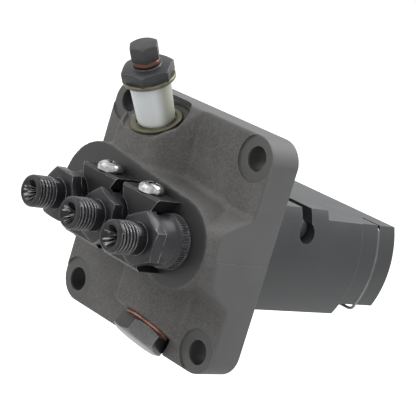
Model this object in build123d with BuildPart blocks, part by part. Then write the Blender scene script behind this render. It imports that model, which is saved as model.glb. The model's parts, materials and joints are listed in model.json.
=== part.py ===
from build123d import *
from math import acos, cos, pi, radians, sin, sqrt, tan
import os

os.makedirs("parts", exist_ok=True)

# Three-cylinder diesel injection pump that bolts to the side of an engine block.
# The origin is the centre of the flange's bolt square on the mounting face, in millimetres.
# -Y is the front with the outlets, +Y goes into the engine, +Z is up and X runs along the cylinders.

# Cylinders
pitch = 24.7
cylinders = (-pitch, 0.0, pitch)

# Mounting flange
flange_side = 92.0
flange_corner = 10.0
flange_depth = 14.3
spot_depth = 13.5
spot_radius = 9.5
bolt_inset = 8.5
bolt_square = flange_side - 2 * bolt_inset
bolt_hole_radius = 4.7
flange_edge_round = 2.5

# Body behind the flange
shoulder_y = 55.3
body_end_y = 75.8
top_flat_z = 21.2
top_step_y = 35.2
low_flat_z = 17.8
bottom_flat_z = -20.4
end_bottom_z = -15.6

# Front boss with the delivery valve holders
boss_radius = 19.3
boss_front_y = -29.5
boss_edge_round = 1.2
block_profile = ((-12.0, 18.5), (-27.0, 8.5), (-24.0, -11.5), (-12.0, -20.0))
block_round = 3.0

# Gallery pads with the inlet seat and the plug seat
inlet_x = -pitch / 2
inlet_seat_y = -19.6
inlet_seat_z = 35.6
inlet_tilt = 32.0
inlet_seat_radius = 11.0
plug_x = pitch / 2
plug_seat_y = -17.4
plug_seat_z = -36.7
plug_tilt = 30.0
plug_seat_radius = 11.3
inlet_pad_lip = 1.0
inlet_pad_left = 12.5
inlet_pad_nose = 11.4
inlet_pad_foot = 26.4
plug_pad_left = 11.0
plug_pad_nose = 6.0
plug_pad_foot = 15.6
pad_root = 2.0
pad_front_inset = 1.0
gallery_radius = 3.5
gallery_z = 11.0
gallery_y = -5.0
gallery_half_length = 34.0
port_radius = 6.0
port_depth = 14.0
port_reach = 28.0

# Bores through the housing, each as radius and end
holder_thread_radius = 9.0
barrel_flange_radius = 8.3
barrel_ledge_y = -1.0
barrel_body_radius = 6.6
web_end_y = 10.0
gear_room_radius = 10.5
seat_ledge_y = 27.5
tappet_bore_radius = 11.15
tappet_bore_wall = 4.45
shoulder_step = 0.7
body_end_radius = pitch + tappet_bore_radius + tappet_bore_wall
body_radius = body_end_radius + shoulder_step
seating_gap = 0.1
running_gap = 0.05
thread_gap = 0.05
cut_margin = 1.0

# Control rack and control sleeve, which mesh as rack and pinion
rack_radius = 4.0
rack_y = 22.9
rack_z = 12.5
rack_half_length = 35.5
rack_bore_gap = 0.3
rack_end_chamfer = 0.8
rack_end_gaps = 5
rack_slot_width = 5.4
gear_module = 0.75
gear_teeth = 25
pressure_angle = 20.0
dedendum = 1.25
tooth_side_gap = 0.06
gear_width = 7.0
link_pin_radius = 2.4
link_pin_foot_z = 11.5
link_journal_radius = 2.0
link_journal_z = 22.2
link_journal_length = 6.0
link_pin_x = -12.35
link_pin_chamfer = 0.5
sleeve_radius = 7.2
sleeve_bore_radius = 5.95
sleeve_start_y = 13.0
sleeve_end_y = 42.0
sleeve_slot_y = 29.0
vane_width = 3.0
vane_half_length = 7.0

# Barrel and plunger
barrel_top_y = -12.2
barrel_end_y = 20.0
barrel_tail_radius = 5.9
barrel_tail_y = 12.0
barrel_groove_radius = 7.2
barrel_groove_width = 6.0
fill_port_radius = 1.5
plunger_radius = 3.5
plunger_gap = 0.02
plunger_top_y = -3.4
plunger_stem_radius = 2.7
vane_y = 38.0
vane_depth = 3.0
spill_depth = 0.9
helix_middle_y = 3.1
helix_slope = 0.7
relief_end_y = 7.1
stop_groove_depth = 1.2
stop_groove_width = 1.4
plunger_end_y = 36.5
locating_pin_radius = 0.7
locating_pin_offset = 7.4
locating_pin_depth = 3.5
locating_pin_proud = 1.0

# Springs and spring seats
spring_seat_thickness = 2.0
spring_end_gap = 0.05
wire_sides = 6
spring_steps = 14
lower_seat_y = 52.0
tappet_floor_y = 56.0
plunger_spring_radius = 8.7
plunger_wire_radius = 1.0
plunger_spring_turns = 5.0
foot_radius = 4.2
foot_start_y = 54.2
foot_gap = 0.25
lower_seat_radius = 9.6
upper_seat_gap = 0.4

# Tappet with its roller
tappet_radius = 11.1
tappet_top_y = 46.5
tappet_end_y = 78.0
tappet_cup_radius = 9.9
roller_y = 74.0
roller_radius = 8.0
roller_width = 9.0
roller_pin_radius = 3.0
roller_pocket_z = 8.4
roller_side_gap = 0.2
roller_chamfer = 0.5
roller_pin_inset = 0.5
tappet_chamfer = 0.6
guide_groove_z = 9.6
guide_pin_radius = 2.5
guide_pin_y = 65.8
guide_head_radius = 3.3
guide_head_height = 1.5
guide_tip_gap = 0.2

# Retaining wire round the end of the body
wire_radius = 0.55
wire_groove_width = 1.5
wire_groove_depth = 1.2
wire_hook_x = 28.0
wire_hook_depth = 4.0
wire_bend_radius = 0.7
wire_hole_radius = 0.85
wire_slot_x = 33.5
wire_slot_length = 12.8

# Delivery valve and its holder
holder_foot_y = -17.2
holder_flats = 17.0
hex_front_y = -46.8
hex_back_y = -40.0
collar_radius = 10.2
collar_front_y = -35.5
neck_radius = 8.9
collar_round = 0.7
thread_chamfer = 0.6
stub_radius = 5.95
stub_tip_y = -59.7
stub_chamfer = 1.0
cone_mouth_radius = 4.1
outlet_bore_radius = 1.0
cone_half_angle = 30.0
holder_bore_radius = 5.0
holder_bore_end_y = -38.0
holder_socket_radius = 6.2
holder_socket_y = -22.0
holder_turns = (8.0, 21.0, 27.0)
seal_ring_thickness = 0.8
seal_ring_radius = 10.1
valve_seat_flange_y = -16.2
valve_seat_radius = 5.6
valve_seat_flange_radius = 8.6
valve_seat_top_y = -21.0
valve_stem_radius = 3.0
valve_stem_end_y = -13.0
valve_stem_chamfer = 0.4
valve_flute_radius = 1.2
valve_collar_length = 1.4
valve_head_radius = 4.2
valve_head_depth = 2.4
valve_spigot_radius = 2.1
valve_spigot_length = 2.6
valve_spring_radius = 3.1
valve_wire_radius = 0.5
valve_spring_turns = 5.0

# Lock plates between the holders
lock_front_y = -40.2
lock_half_width = 10.5
lock_top_z = 14.3
lock_bottom_z = -13.1
lock_waist_x = 8.6
lock_waist_z = 10.4
lock_split = 0.8
lock_split_z = 0.6
lock_arc_radius = 10.3
lock_arc_z = 9.4
lock_screw_y = -36.0
lock_screw_radius = 2.0
lock_head_radius = 4.4
lock_head_height = 3.0
lock_head_edge = 1.0
lock_screw_end_z = -10.0
lock_chamfer = 0.8

# Inlet hollow screw, washers, spacer and bleed screw, as heights above the inlet seat
washer_thickness = 1.6
washer_chamfer = 0.3
inlet_washer_radius = 10.1
spacer_top = 18.0
spacer_radius_top = 7.9
spacer_radius_bottom = 7.3
spacer_bore_radius = 6.4
inlet_flats = 18.0
inlet_hex_height = 4.5
inlet_hex_turn = 9.0
inlet_screw_end = -12.0
inlet_bore_radius = 3.2
bleed_ring_height = 0.5
bleed_ring_radius = 5.5
cross_hole_radius = 1.7
bleed_washer_thickness = 1.2
bleed_washer_radius = 5.1
bleed_flats = 10.0
bleed_head_height = 7.2
bleed_turn = 20.0
bleed_thread_radius = 2.9
bleed_thread_length = 6.0

# Gallery plug, as heights outwards from the plug seat
plug_flats = 19.0
plug_washer_thickness = 1.3
plug_washer_radius = 9.4
plug_head_height = 6.6
plug_turn = 12.0
plug_thread_radius = 6.95
plug_thread_length = 9.0
hex_chamfer_angle = 30.0
hex_land = 0.96


def front_plane(x, y):
    """Plane across the pump axis, looking out of the front, with its second axis up."""
    return Plane(origin=(x, y, 0), x_dir=(1, 0, 0), z_dir=(0, -1, 0))


def axis_plane(x):
    """Plane through one cylinder axis, with its second axis along +Y."""
    return Plane(origin=(x, 0, 0), x_dir=(1, 0, 0), z_dir=(0, 0, 1))


def turned(x, outline, mode=Mode.ADD):
    """Close an outline of (radius, y) points and revolve it about the cylinder axis at x."""
    with BuildSketch(axis_plane(x)) as half:
        with BuildLine():
            Polyline(*outline, close=True)
        make_face()
    revolve(half.sketch, axis=Axis((x, 0, 0), (0, 1, 0)), mode=mode)


def bored(x, radius, y_from, y_to):
    """Cut a round bore along the cylinder axis at x."""
    with BuildSketch(front_plane(x, y_to)) as mouth:
        Circle(radius)
    extrude(mouth.sketch, amount=y_to - y_from, mode=Mode.SUBTRACT)


def hexagon_head(plane, flats, height, turn, rounded_back):
    """Hexagon standing on a plane, with its far corners turned down as on a real head."""
    corner = flats / sqrt(3)
    land = hex_land * flats / 2
    drop = (corner - land) * tan(radians(hex_chamfer_angle))
    with BuildSketch(plane) as hexagon:
        RegularPolygon(radius=flats / 2, side_count=6, major_radius=False, rotation=turn)
    extrude(hexagon.sketch, amount=height)
    foot = [(0, 0), (land, 0), (corner, -drop)] if rounded_back else [(0, 0), (corner, 0)]
    side = Plane(origin=plane.origin, x_dir=plane.x_dir, z_dir=plane.y_dir)
    with BuildSketch(side) as envelope:
        with BuildLine():
            Polyline(*foot, (corner, drop - height), (land, -height), (0, -height), close=True)
        make_face()
    revolve(envelope.sketch, axis=Axis(plane.origin, plane.z_dir), mode=Mode.INTERSECT)


def save(builder, label):
    """Name a finished piece and write it as a file of its own."""
    builder.part.label = label
    export_step(builder.part, f"parts/{label}.step")


# Planes of the inlet seat and the plug seat, each with its axis pointing out of the casting
inlet_out = (0, -sin(radians(inlet_tilt)), cos(radians(inlet_tilt)))
inlet_plane = Plane(origin=(inlet_x, inlet_seat_y, inlet_seat_z), x_dir=(1, 0, 0), z_dir=inlet_out)
plug_out = (0, -sin(radians(plug_tilt)), -cos(radians(plug_tilt)))
plug_plane = Plane(origin=(plug_x, plug_seat_y, plug_seat_z), x_dir=(1, 0, 0), z_dir=plug_out)


def make_pad(x, seat_y, seat_z, slope, left, nose, foot):
    """Gallery pad that carries a tilted seat and runs out to the right along the flange."""
    back_y = pad_root - flange_depth
    nose_y = boss_front_y + pad_front_inset
    back_z = seat_z + (back_y - seat_y) * slope
    nose_z = seat_z + (nose_y - seat_y) * slope
    with BuildPart() as pad:
        with BuildSketch(Plane.YZ.offset(x - left)):
            with BuildLine():
                Polyline((back_y, 0), (back_y, back_z), (nose_y, nose_z), (nose_y, 0), close=True)
            make_face()
        extrude(amount=left + foot)
        with BuildSketch(Plane.XY):
            with BuildLine():
                Polyline(
                    (x - left, back_y),
                    (x - left, nose_y),
                    (x + nose, nose_y),
                    (x + foot, back_y),
                    close=True,
                )
            make_face()
        extrude(amount=flange_side, both=True, mode=Mode.INTERSECT)
    return pad.part


inlet_slope = tan(radians(inlet_tilt))
inlet_pad_z = inlet_seat_z + inlet_pad_lip
inlet_pad = make_pad(
    inlet_x, inlet_seat_y, inlet_pad_z, inlet_slope, inlet_pad_left, inlet_pad_nose, inlet_pad_foot
)
plug_slope = -tan(radians(plug_tilt))
plug_pad = make_pad(
    plug_x, plug_seat_y, plug_seat_z, plug_slope, plug_pad_left, plug_pad_nose, plug_pad_foot
)


with BuildPart() as pump_body:
    # Flange plate, with its front edge rounded
    with BuildSketch(front_plane(0, 0)):
        RectangleRounded(flange_side, flange_side, flange_corner)
    extrude(amount=flange_depth)
    fillet(pump_body.faces().sort_by(Axis.Y)[0].edges(), flange_edge_round)

    # Round boss that carries the three holders
    with BuildSketch(front_plane(0, -spot_depth)):
        SlotCenterToCenter(2 * pitch, 2 * boss_radius)
    extrude(amount=-spot_depth - boss_front_y)
    fillet(pump_body.faces().sort_by(Axis.Y)[0].edges(), boss_edge_round)

    # Wedge block across the flange, flush with the flange's right side
    with BuildSketch(Plane.YZ):
        with BuildLine():
            Polyline(*block_profile, close=True)
        make_face()
        fillet(vertices().group_by(Axis.X)[0], block_round)
    extrude(amount=flange_side / 2)

    # Upper pad with the inlet seat and lower pad with the plug seat
    add(inlet_pad)
    add(plug_pad)

    # Body that reaches into the engine, a round bar with two steps of flats
    for radius, y_from, y_to, z_low, z_high in (
        (body_radius, 0, top_step_y, bottom_flat_z, top_flat_z),
        (body_radius, top_step_y, shoulder_y, bottom_flat_z, low_flat_z),
        (body_end_radius, shoulder_y, body_end_y, end_bottom_z, low_flat_z),
    ):
        with BuildSketch(front_plane(0, y_to)):
            Circle(radius)
            with Locations((0, (z_low + z_high) / 2)):
                Rectangle(4 * radius, z_high - z_low, mode=Mode.INTERSECT)
        extrude(amount=y_to - y_from)

    # Spot faces and bolt holes in the four corners
    with BuildSketch(front_plane(0, -spot_depth)):
        with GridLocations(bolt_square, bolt_square, 2, 2):
            Circle(spot_radius)
    extrude(amount=flange_depth, mode=Mode.SUBTRACT)
    with BuildSketch(front_plane(0, 0)):
        with GridLocations(bolt_square, bolt_square, 2, 2):
            Circle(bolt_hole_radius)
    extrude(amount=flange_depth, mode=Mode.SUBTRACT)

    # Spot faces and ports of the inlet and the plug, cut square to their axes
    for plane, seat_radius, bore_radius in (
        (inlet_plane, inlet_seat_radius, port_radius),
        (plug_plane, plug_seat_radius, plug_thread_radius + thread_gap),
    ):
        with BuildSketch(plane):
            Circle(seat_radius)
        extrude(amount=3 * seat_radius, mode=Mode.SUBTRACT)
        with BuildSketch(plane):
            Circle(bore_radius)
        extrude(amount=-port_depth, mode=Mode.SUBTRACT)
        with BuildSketch(plane):
            Circle(gallery_radius)
        extrude(amount=-port_reach, mode=Mode.SUBTRACT)

    # Fuel gallery above and below the barrels
    for z in (gallery_z, -gallery_z):
        with BuildSketch(Plane.YZ.offset(-gallery_half_length)):
            with Locations((gallery_y, z)):
                Circle(gallery_radius)
        extrude(amount=2 * gallery_half_length, mode=Mode.SUBTRACT)

    # Stepped bore of each cylinder, from the holder thread down to the tappet bore
    for x in cylinders:
        bored(x, holder_thread_radius, boss_front_y - cut_margin, barrel_top_y)
        bored(x, barrel_flange_radius + seating_gap, barrel_top_y, barrel_ledge_y)
        bored(x, barrel_body_radius + running_gap, barrel_ledge_y, web_end_y)
        bored(x, gear_room_radius, web_end_y, seat_ledge_y)
        bored(x, tappet_bore_radius, seat_ledge_y, body_end_y)

    # Rack bore and the slot over it
    with BuildSketch(Plane.YZ.offset(-body_radius)):
        with Locations((rack_y, rack_z)):
            Circle(rack_radius + rack_bore_gap)
        with Locations((rack_y, rack_z)):
            slot_height = top_flat_z + cut_margin - rack_z
            Rectangle(rack_slot_width, slot_height, align=(Align.CENTER, Align.MIN))
    extrude(amount=2 * body_radius, mode=Mode.SUBTRACT)

    # Holes of the tappet guide pins, through the bottom flat
    with BuildSketch(Plane.XY.offset(end_bottom_z - cut_margin)):
        with Locations(*[(x, guide_pin_y) for x in cylinders]):
            Circle(guide_pin_radius)
    extrude(amount=cut_margin - end_bottom_z, mode=Mode.SUBTRACT)

    # Groove and hook holes of the retaining wire
    with BuildSketch(front_plane(0, guide_pin_y + wire_groove_width / 2)):
        Circle(body_end_radius + cut_margin)
        Circle(body_end_radius - wire_groove_depth, mode=Mode.SUBTRACT)
    extrude(amount=wire_groove_width, mode=Mode.SUBTRACT)
    with BuildSketch(Plane.XY.offset(low_flat_z - wire_groove_depth)):
        with Locations(*[(side * wire_slot_x, guide_pin_y) for side in (-1, 1)]):
            Rectangle(wire_slot_length, wire_groove_width)
    extrude(amount=2 * wire_groove_depth, mode=Mode.SUBTRACT)
    with BuildSketch(Plane.XY.offset(low_flat_z)):
        with Locations(*[(side * wire_hook_x, guide_pin_y) for side in (-1, 1)]):
            Circle(wire_hole_radius)
    extrude(amount=-wire_hook_depth - cut_margin, mode=Mode.SUBTRACT)

    # Holes of the pins that keep each barrel from turning
    with BuildSketch(front_plane(0, barrel_ledge_y + locating_pin_depth)):
        with Locations(*[(x + locating_pin_offset, 0) for x in cylinders]):
            Circle(locating_pin_radius)
    extrude(amount=locating_pin_depth, mode=Mode.SUBTRACT)
save(pump_body, "pump_body")


def make_holder(x, number, turn):
    """Delivery valve holder: thread, clamped collar, hexagon and outlet stub with its sealing cone."""
    ring_y = boss_front_y - seal_ring_thickness
    thread = holder_thread_radius - thread_gap
    cone_end_y = stub_tip_y + (cone_mouth_radius - outlet_bore_radius) / tan(radians(cone_half_angle))
    with BuildPart() as holder:
        hex_length = hex_back_y - hex_front_y
        hexagon_head(front_plane(x, hex_back_y), holder_flats, hex_length, turn, True)
        turned(
            x,
            (
                (0, holder_foot_y),
                (thread - thread_chamfer, holder_foot_y),
                (thread, holder_foot_y - thread_chamfer),
                (thread, ring_y),
                (collar_radius, ring_y),
                (collar_radius, collar_front_y + collar_round),
                (collar_radius - collar_round, collar_front_y),
                (neck_radius, collar_front_y),
                (neck_radius, hex_back_y),
                (stub_radius, hex_back_y),
                (stub_radius, stub_tip_y + stub_chamfer),
                (stub_radius - stub_chamfer, stub_tip_y),
                (0, stub_tip_y),
            ),
        )
        turned(
            x,
            (
                (0, holder_foot_y + cut_margin),
                (holder_socket_radius, holder_foot_y + cut_margin),
                (holder_socket_radius, holder_socket_y),
                (holder_bore_radius, holder_socket_y),
                (holder_bore_radius, holder_bore_end_y),
                (outlet_bore_radius, holder_bore_end_y),
                (outlet_bore_radius, cone_end_y),
                (cone_mouth_radius, stub_tip_y),
                (0, stub_tip_y),
            ),
            Mode.SUBTRACT,
        )
    save(holder, f"valve_holder_{number}")


def make_valve_seat(x, number):
    """Flanged seat body that stands on the barrel and guides the delivery valve."""
    guide = valve_stem_radius + running_gap
    cone = valve_head_radius - guide
    with BuildPart() as valve_seat:
        turned(
            x,
            (
                (guide, barrel_top_y),
                (valve_seat_flange_radius, barrel_top_y),
                (valve_seat_flange_radius, valve_seat_flange_y),
                (valve_seat_radius, valve_seat_flange_y),
                (valve_seat_radius, valve_seat_top_y),
                (valve_head_radius, valve_seat_top_y),
                (guide, valve_seat_top_y + cone),
            ),
        )
    save(valve_seat, f"delivery_valve_seat_{number}")


def make_valve(x, number):
    """Delivery valve: a fluted stem, a sealing cone and a spigot for its spring."""
    head_y = valve_seat_top_y - running_gap * sqrt(2)
    crown_y = head_y - valve_head_depth
    stem_start_y = head_y + valve_head_radius - valve_stem_radius
    with BuildPart() as valve:
        turned(
            x,
            (
                (0, valve_stem_end_y),
                (valve_stem_radius - valve_stem_chamfer, valve_stem_end_y),
                (valve_stem_radius, valve_stem_end_y - valve_stem_chamfer),
                (valve_stem_radius, stem_start_y),
                (valve_head_radius, head_y),
                (valve_head_radius, crown_y),
                (valve_spigot_radius, crown_y),
                (valve_spigot_radius, crown_y - valve_spigot_length),
                (0, crown_y - valve_spigot_length),
            ),
        )
        # Four flutes let the fuel past the stem, and stop short of the relief collar
        with BuildSketch(front_plane(x, valve_stem_end_y)):
            with PolarLocations(valve_stem_radius, 4):
                Circle(valve_flute_radius)
        extrude(amount=valve_stem_end_y - stem_start_y - valve_collar_length, mode=Mode.SUBTRACT)
    save(valve, f"delivery_valve_{number}")


def make_spring(x, label, y_from, y_to, mean_radius, wire, turns):
    """Compression spring between two seats."""
    inset = wire + spring_end_gap
    free = y_to - y_from - 2 * inset
    count = round(turns * spring_steps)
    points = []
    for step in range(count + 1):
        angle = 2 * pi * step / spring_steps
        rise = free * step / count
        points.append((x + mean_radius * cos(angle), y_from + inset + rise, mean_radius * sin(angle)))
    with BuildPart() as spring:
        with BuildLine():
            coil = Polyline(*points)
        with BuildSketch(Plane(origin=coil @ 0, z_dir=coil % 0)):
            RegularPolygon(radius=wire, side_count=wire_sides)
        sweep(transition=Transition.RIGHT)
    save(spring, label)


def make_barrel(x, number):
    """Barrel with its fuel groove and fill ports, and a tail that carries the control sleeve."""
    bore = plunger_radius + plunger_gap
    with BuildPart() as barrel:
        turned(
            x,
            (
                (bore, barrel_top_y),
                (barrel_flange_radius, barrel_top_y),
                (barrel_flange_radius, gallery_y - barrel_groove_width / 2),
                (barrel_groove_radius, gallery_y - barrel_groove_width / 2),
                (barrel_groove_radius, gallery_y + barrel_groove_width / 2),
                (barrel_flange_radius, gallery_y + barrel_groove_width / 2),
                (barrel_flange_radius, barrel_ledge_y),
                (barrel_body_radius, barrel_ledge_y),
                (barrel_body_radius, barrel_tail_y),
                (barrel_tail_radius, barrel_tail_y),
                (barrel_tail_radius, barrel_end_y),
                (bore, barrel_end_y),
            ),
        )
        with BuildSketch(Plane.XY.offset(-barrel_flange_radius)):
            with Locations((x, gallery_y)):
                Circle(fill_port_radius)
        extrude(amount=2 * barrel_flange_radius, mode=Mode.SUBTRACT)
        with BuildSketch(front_plane(x, barrel_ledge_y)):
            with Locations((locating_pin_offset, 0)):
                Circle(locating_pin_radius)
        extrude(amount=2 * locating_pin_proud, mode=Mode.SUBTRACT)
    save(barrel, f"plunger_barrel_{number}")


pitch_radius = gear_module * gear_teeth / 2
tip_radius = pitch_radius + gear_module
root_radius = pitch_radius - dedendum * gear_module
base_radius = pitch_radius * cos(radians(pressure_angle))


def involute_angle(radius):
    """Angle by which the involute flank has turned at a radius."""
    slope = acos(base_radius / radius)
    return tan(slope) - slope


def tooth_points(middle):
    """Points of one gear tooth about the direction middle, from root to root."""
    at_pitch = pi / (2 * gear_teeth) - tooth_side_gap / pitch_radius + involute_angle(pitch_radius)
    flank = [(root_radius, at_pitch)]
    for radius in (base_radius, pitch_radius, tip_radius):
        flank.append((radius, at_pitch - involute_angle(radius)))
    turns = [(radius, middle - half) for radius, half in flank]
    turns += [(radius, middle + half) for radius, half in reversed(flank)]
    return [(radius * cos(angle), radius * sin(angle)) for radius, angle in turns]


def make_control_sleeve(x, number):
    """Control sleeve: a toothed ring for the rack and two slots that turn the plunger's vane."""
    with BuildPart() as sleeve:
        outline = []
        for tooth in range(gear_teeth):
            outline += tooth_points(pi / 2 + 2 * pi * tooth / gear_teeth)
        with BuildSketch(front_plane(x, rack_y + gear_width / 2)):
            with BuildLine():
                Polyline(*outline, close=True)
            make_face()
        extrude(amount=gear_width)
        turned(
            x,
            (
                (0, sleeve_start_y),
                (sleeve_radius, sleeve_start_y),
                (sleeve_radius, sleeve_end_y),
                (0, sleeve_end_y),
            ),
        )
        bored(x, sleeve_bore_radius, sleeve_start_y, sleeve_end_y)
        with BuildSketch(front_plane(x, sleeve_end_y)):
            Rectangle(3 * sleeve_radius, vane_width + 2 * running_gap)
        extrude(amount=sleeve_end_y - sleeve_slot_y, mode=Mode.SUBTRACT)
    save(sleeve, f"control_sleeve_{number}")


def make_plunger(x, number):
    """Plunger with its inclined control edge, stop groove, vane and foot."""
    edge = Plane(
        origin=(x, helix_middle_y, 0),
        x_dir=(1, -helix_slope, 0),
        z_dir=(helix_slope, 1, 0),
    )
    waist_radius = plunger_radius - spill_depth
    relief_start_y = helix_middle_y - plunger_radius
    with BuildPart() as relief:
        turned(
            x,
            (
                (waist_radius, relief_start_y),
                (plunger_radius + cut_margin, relief_start_y),
                (plunger_radius + cut_margin, relief_end_y),
                (waist_radius, relief_end_y),
            ),
        )
        split(bisect_by=edge, keep=Keep.TOP)
    with BuildPart() as plunger:
        turned(
            x,
            (
                (0, plunger_top_y),
                (plunger_radius, plunger_top_y),
                (plunger_radius, plunger_end_y),
                (plunger_stem_radius, plunger_end_y),
                (plunger_stem_radius, foot_start_y),
                (foot_radius, foot_start_y),
                (foot_radius, tappet_floor_y - seating_gap),
                (0, tappet_floor_y - seating_gap),
            ),
        )
        with BuildSketch(front_plane(x, vane_y + vane_depth)):
            Rectangle(2 * vane_half_length, vane_width)
        extrude(amount=vane_depth)
        add(relief.part, mode=Mode.SUBTRACT)
        # The stop groove joins the relief to the top of the plunger
        with BuildSketch(front_plane(x, relief_end_y - cut_margin)):
            with Locations((plunger_radius, 0)):
                Rectangle(2 * stop_groove_depth, stop_groove_width)
        extrude(amount=relief_end_y - plunger_top_y, mode=Mode.SUBTRACT)
    save(plunger, f"plunger_{number}")


def make_spring_seats(x, number):
    """Upper seat on the housing's ledge, and lower seat that holds the plunger's foot."""
    with BuildPart() as upper_seat:
        turned(
            x,
            (
                (sleeve_radius + upper_seat_gap, seat_ledge_y),
                (tappet_bore_radius - seating_gap, seat_ledge_y),
                (tappet_bore_radius - seating_gap, seat_ledge_y + spring_seat_thickness),
                (sleeve_radius + upper_seat_gap, seat_ledge_y + spring_seat_thickness),
            ),
        )
    save(upper_seat, f"upper_spring_seat_{number}")

    stem_hole = plunger_stem_radius + foot_gap
    foot_hole = foot_radius + foot_gap
    pocket_y = foot_start_y - seating_gap
    with BuildPart() as lower_seat:
        turned(
            x,
            (
                (stem_hole, lower_seat_y),
                (lower_seat_radius, lower_seat_y),
                (lower_seat_radius, tappet_floor_y),
                (foot_hole, tappet_floor_y),
                (foot_hole, pocket_y),
                (stem_hole, pocket_y),
            ),
        )
        for half_width, y_from, y_to in (
            (stem_hole, lower_seat_y, pocket_y),
            (foot_hole, pocket_y, tappet_floor_y),
        ):
            with BuildSketch(front_plane(x, y_to)):
                with Locations((0, lower_seat_radius)):
                    Rectangle(2 * half_width, 2 * lower_seat_radius)
            extrude(amount=y_to - y_from, mode=Mode.SUBTRACT)
    save(lower_seat, f"lower_spring_seat_{number}")


def make_tappet(x, number):
    """Tappet: a spring cup, a roller pocket between two ears and the groove of its guide pin."""
    with BuildPart() as tappet:
        turned(
            x,
            (
                (0, tappet_floor_y),
                (tappet_cup_radius, tappet_floor_y),
                (tappet_cup_radius, tappet_top_y),
                (tappet_radius - tappet_chamfer, tappet_top_y),
                (tappet_radius, tappet_top_y + tappet_chamfer),
                (tappet_radius, tappet_end_y - tappet_chamfer),
                (tappet_radius - tappet_chamfer, tappet_end_y),
                (0, tappet_end_y),
            ),
        )
        with BuildSketch(front_plane(x, tappet_end_y)):
            Rectangle(roller_width + 2 * roller_side_gap, 2 * roller_pocket_z)
        extrude(amount=tappet_end_y - roller_y + roller_pocket_z, mode=Mode.SUBTRACT)
        with BuildSketch(front_plane(x, tappet_end_y)):
            with Locations((0, -guide_groove_z - tappet_radius / 2)):
                Rectangle(2 * (guide_pin_radius + running_gap), tappet_radius)
        groove_start_y = guide_pin_y - guide_pin_radius - running_gap
        extrude(amount=tappet_end_y - groove_start_y, mode=Mode.SUBTRACT)
        with BuildSketch(Plane.YZ.offset(x - tappet_radius)):
            with Locations((roller_y, 0)):
                Circle(roller_pin_radius)
        extrude(amount=2 * tappet_radius, mode=Mode.SUBTRACT)
    save(tappet, f"tappet_{number}")


def make_roller(x, number):
    """Cam roller and the pin that it turns on."""
    pin_half_length = sqrt(tappet_radius**2 - roller_pin_radius**2) - roller_pin_inset
    with BuildPart() as roller:
        with BuildSketch(Plane.YZ.offset(x - roller_width / 2)):
            with Locations((roller_y, 0)):
                Circle(roller_radius)
        extrude(amount=roller_width)
        chamfer(roller.edges(), roller_chamfer)
        with BuildSketch(Plane.YZ.offset(x - roller_width / 2)):
            with Locations((roller_y, 0)):
                Circle(roller_pin_radius + running_gap)
        extrude(amount=roller_width, mode=Mode.SUBTRACT)
    save(roller, f"roller_{number}")
    with BuildPart() as roller_pin:
        with BuildSketch(Plane.YZ.offset(x - pin_half_length)):
            with Locations((roller_y, 0)):
                Circle(roller_pin_radius)
        extrude(amount=2 * pin_half_length)
    save(roller_pin, f"roller_pin_{number}")


for number, x in enumerate(cylinders, start=1):
    make_holder(x, number, holder_turns[number - 1])
    make_valve_seat(x, number)
    make_valve(x, number)
    crown_y = valve_seat_top_y - running_gap * sqrt(2) - valve_head_depth
    make_spring(
        x,
        f"delivery_valve_spring_{number}",
        holder_bore_end_y,
        crown_y,
        valve_spring_radius,
        valve_wire_radius,
        valve_spring_turns,
    )
    make_barrel(x, number)
    make_control_sleeve(x, number)
    make_plunger(x, number)
    make_spring_seats(x, number)
    make_spring(
        x,
        f"plunger_spring_{number}",
        seat_ledge_y + spring_seat_thickness,
        lower_seat_y,
        plunger_spring_radius,
        plunger_wire_radius,
        plunger_spring_turns,
    )
    make_tappet(x, number)
    make_roller(x, number)


def make_rings(label, outer, inner, y_back, thickness):
    """One ring round each cylinder axis, as a group of equal pieces."""
    with BuildPart() as rings:
        with BuildSketch(front_plane(0, y_back)):
            with Locations(*[(x, 0) for x in cylinders]):
                Circle(outer)
                Circle(inner, mode=Mode.SUBTRACT)
        extrude(amount=thickness)
    save(rings, label)


make_rings(
    "valve_seat_gaskets",
    valve_seat_flange_radius,
    valve_seat_radius + seating_gap,
    valve_seat_flange_y,
    valve_seat_flange_y - holder_foot_y,
)
make_rings(
    "holder_seal_rings",
    seal_ring_radius,
    holder_thread_radius,
    boss_front_y,
    seal_ring_thickness,
)

with BuildPart() as barrel_pins:
    with BuildSketch(front_plane(0, barrel_ledge_y + locating_pin_depth)):
        with Locations(*[(x + locating_pin_offset, 0) for x in cylinders]):
            Circle(locating_pin_radius)
    extrude(amount=locating_pin_depth + locating_pin_proud)
save(barrel_pins, "barrel_locating_pins")

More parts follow.
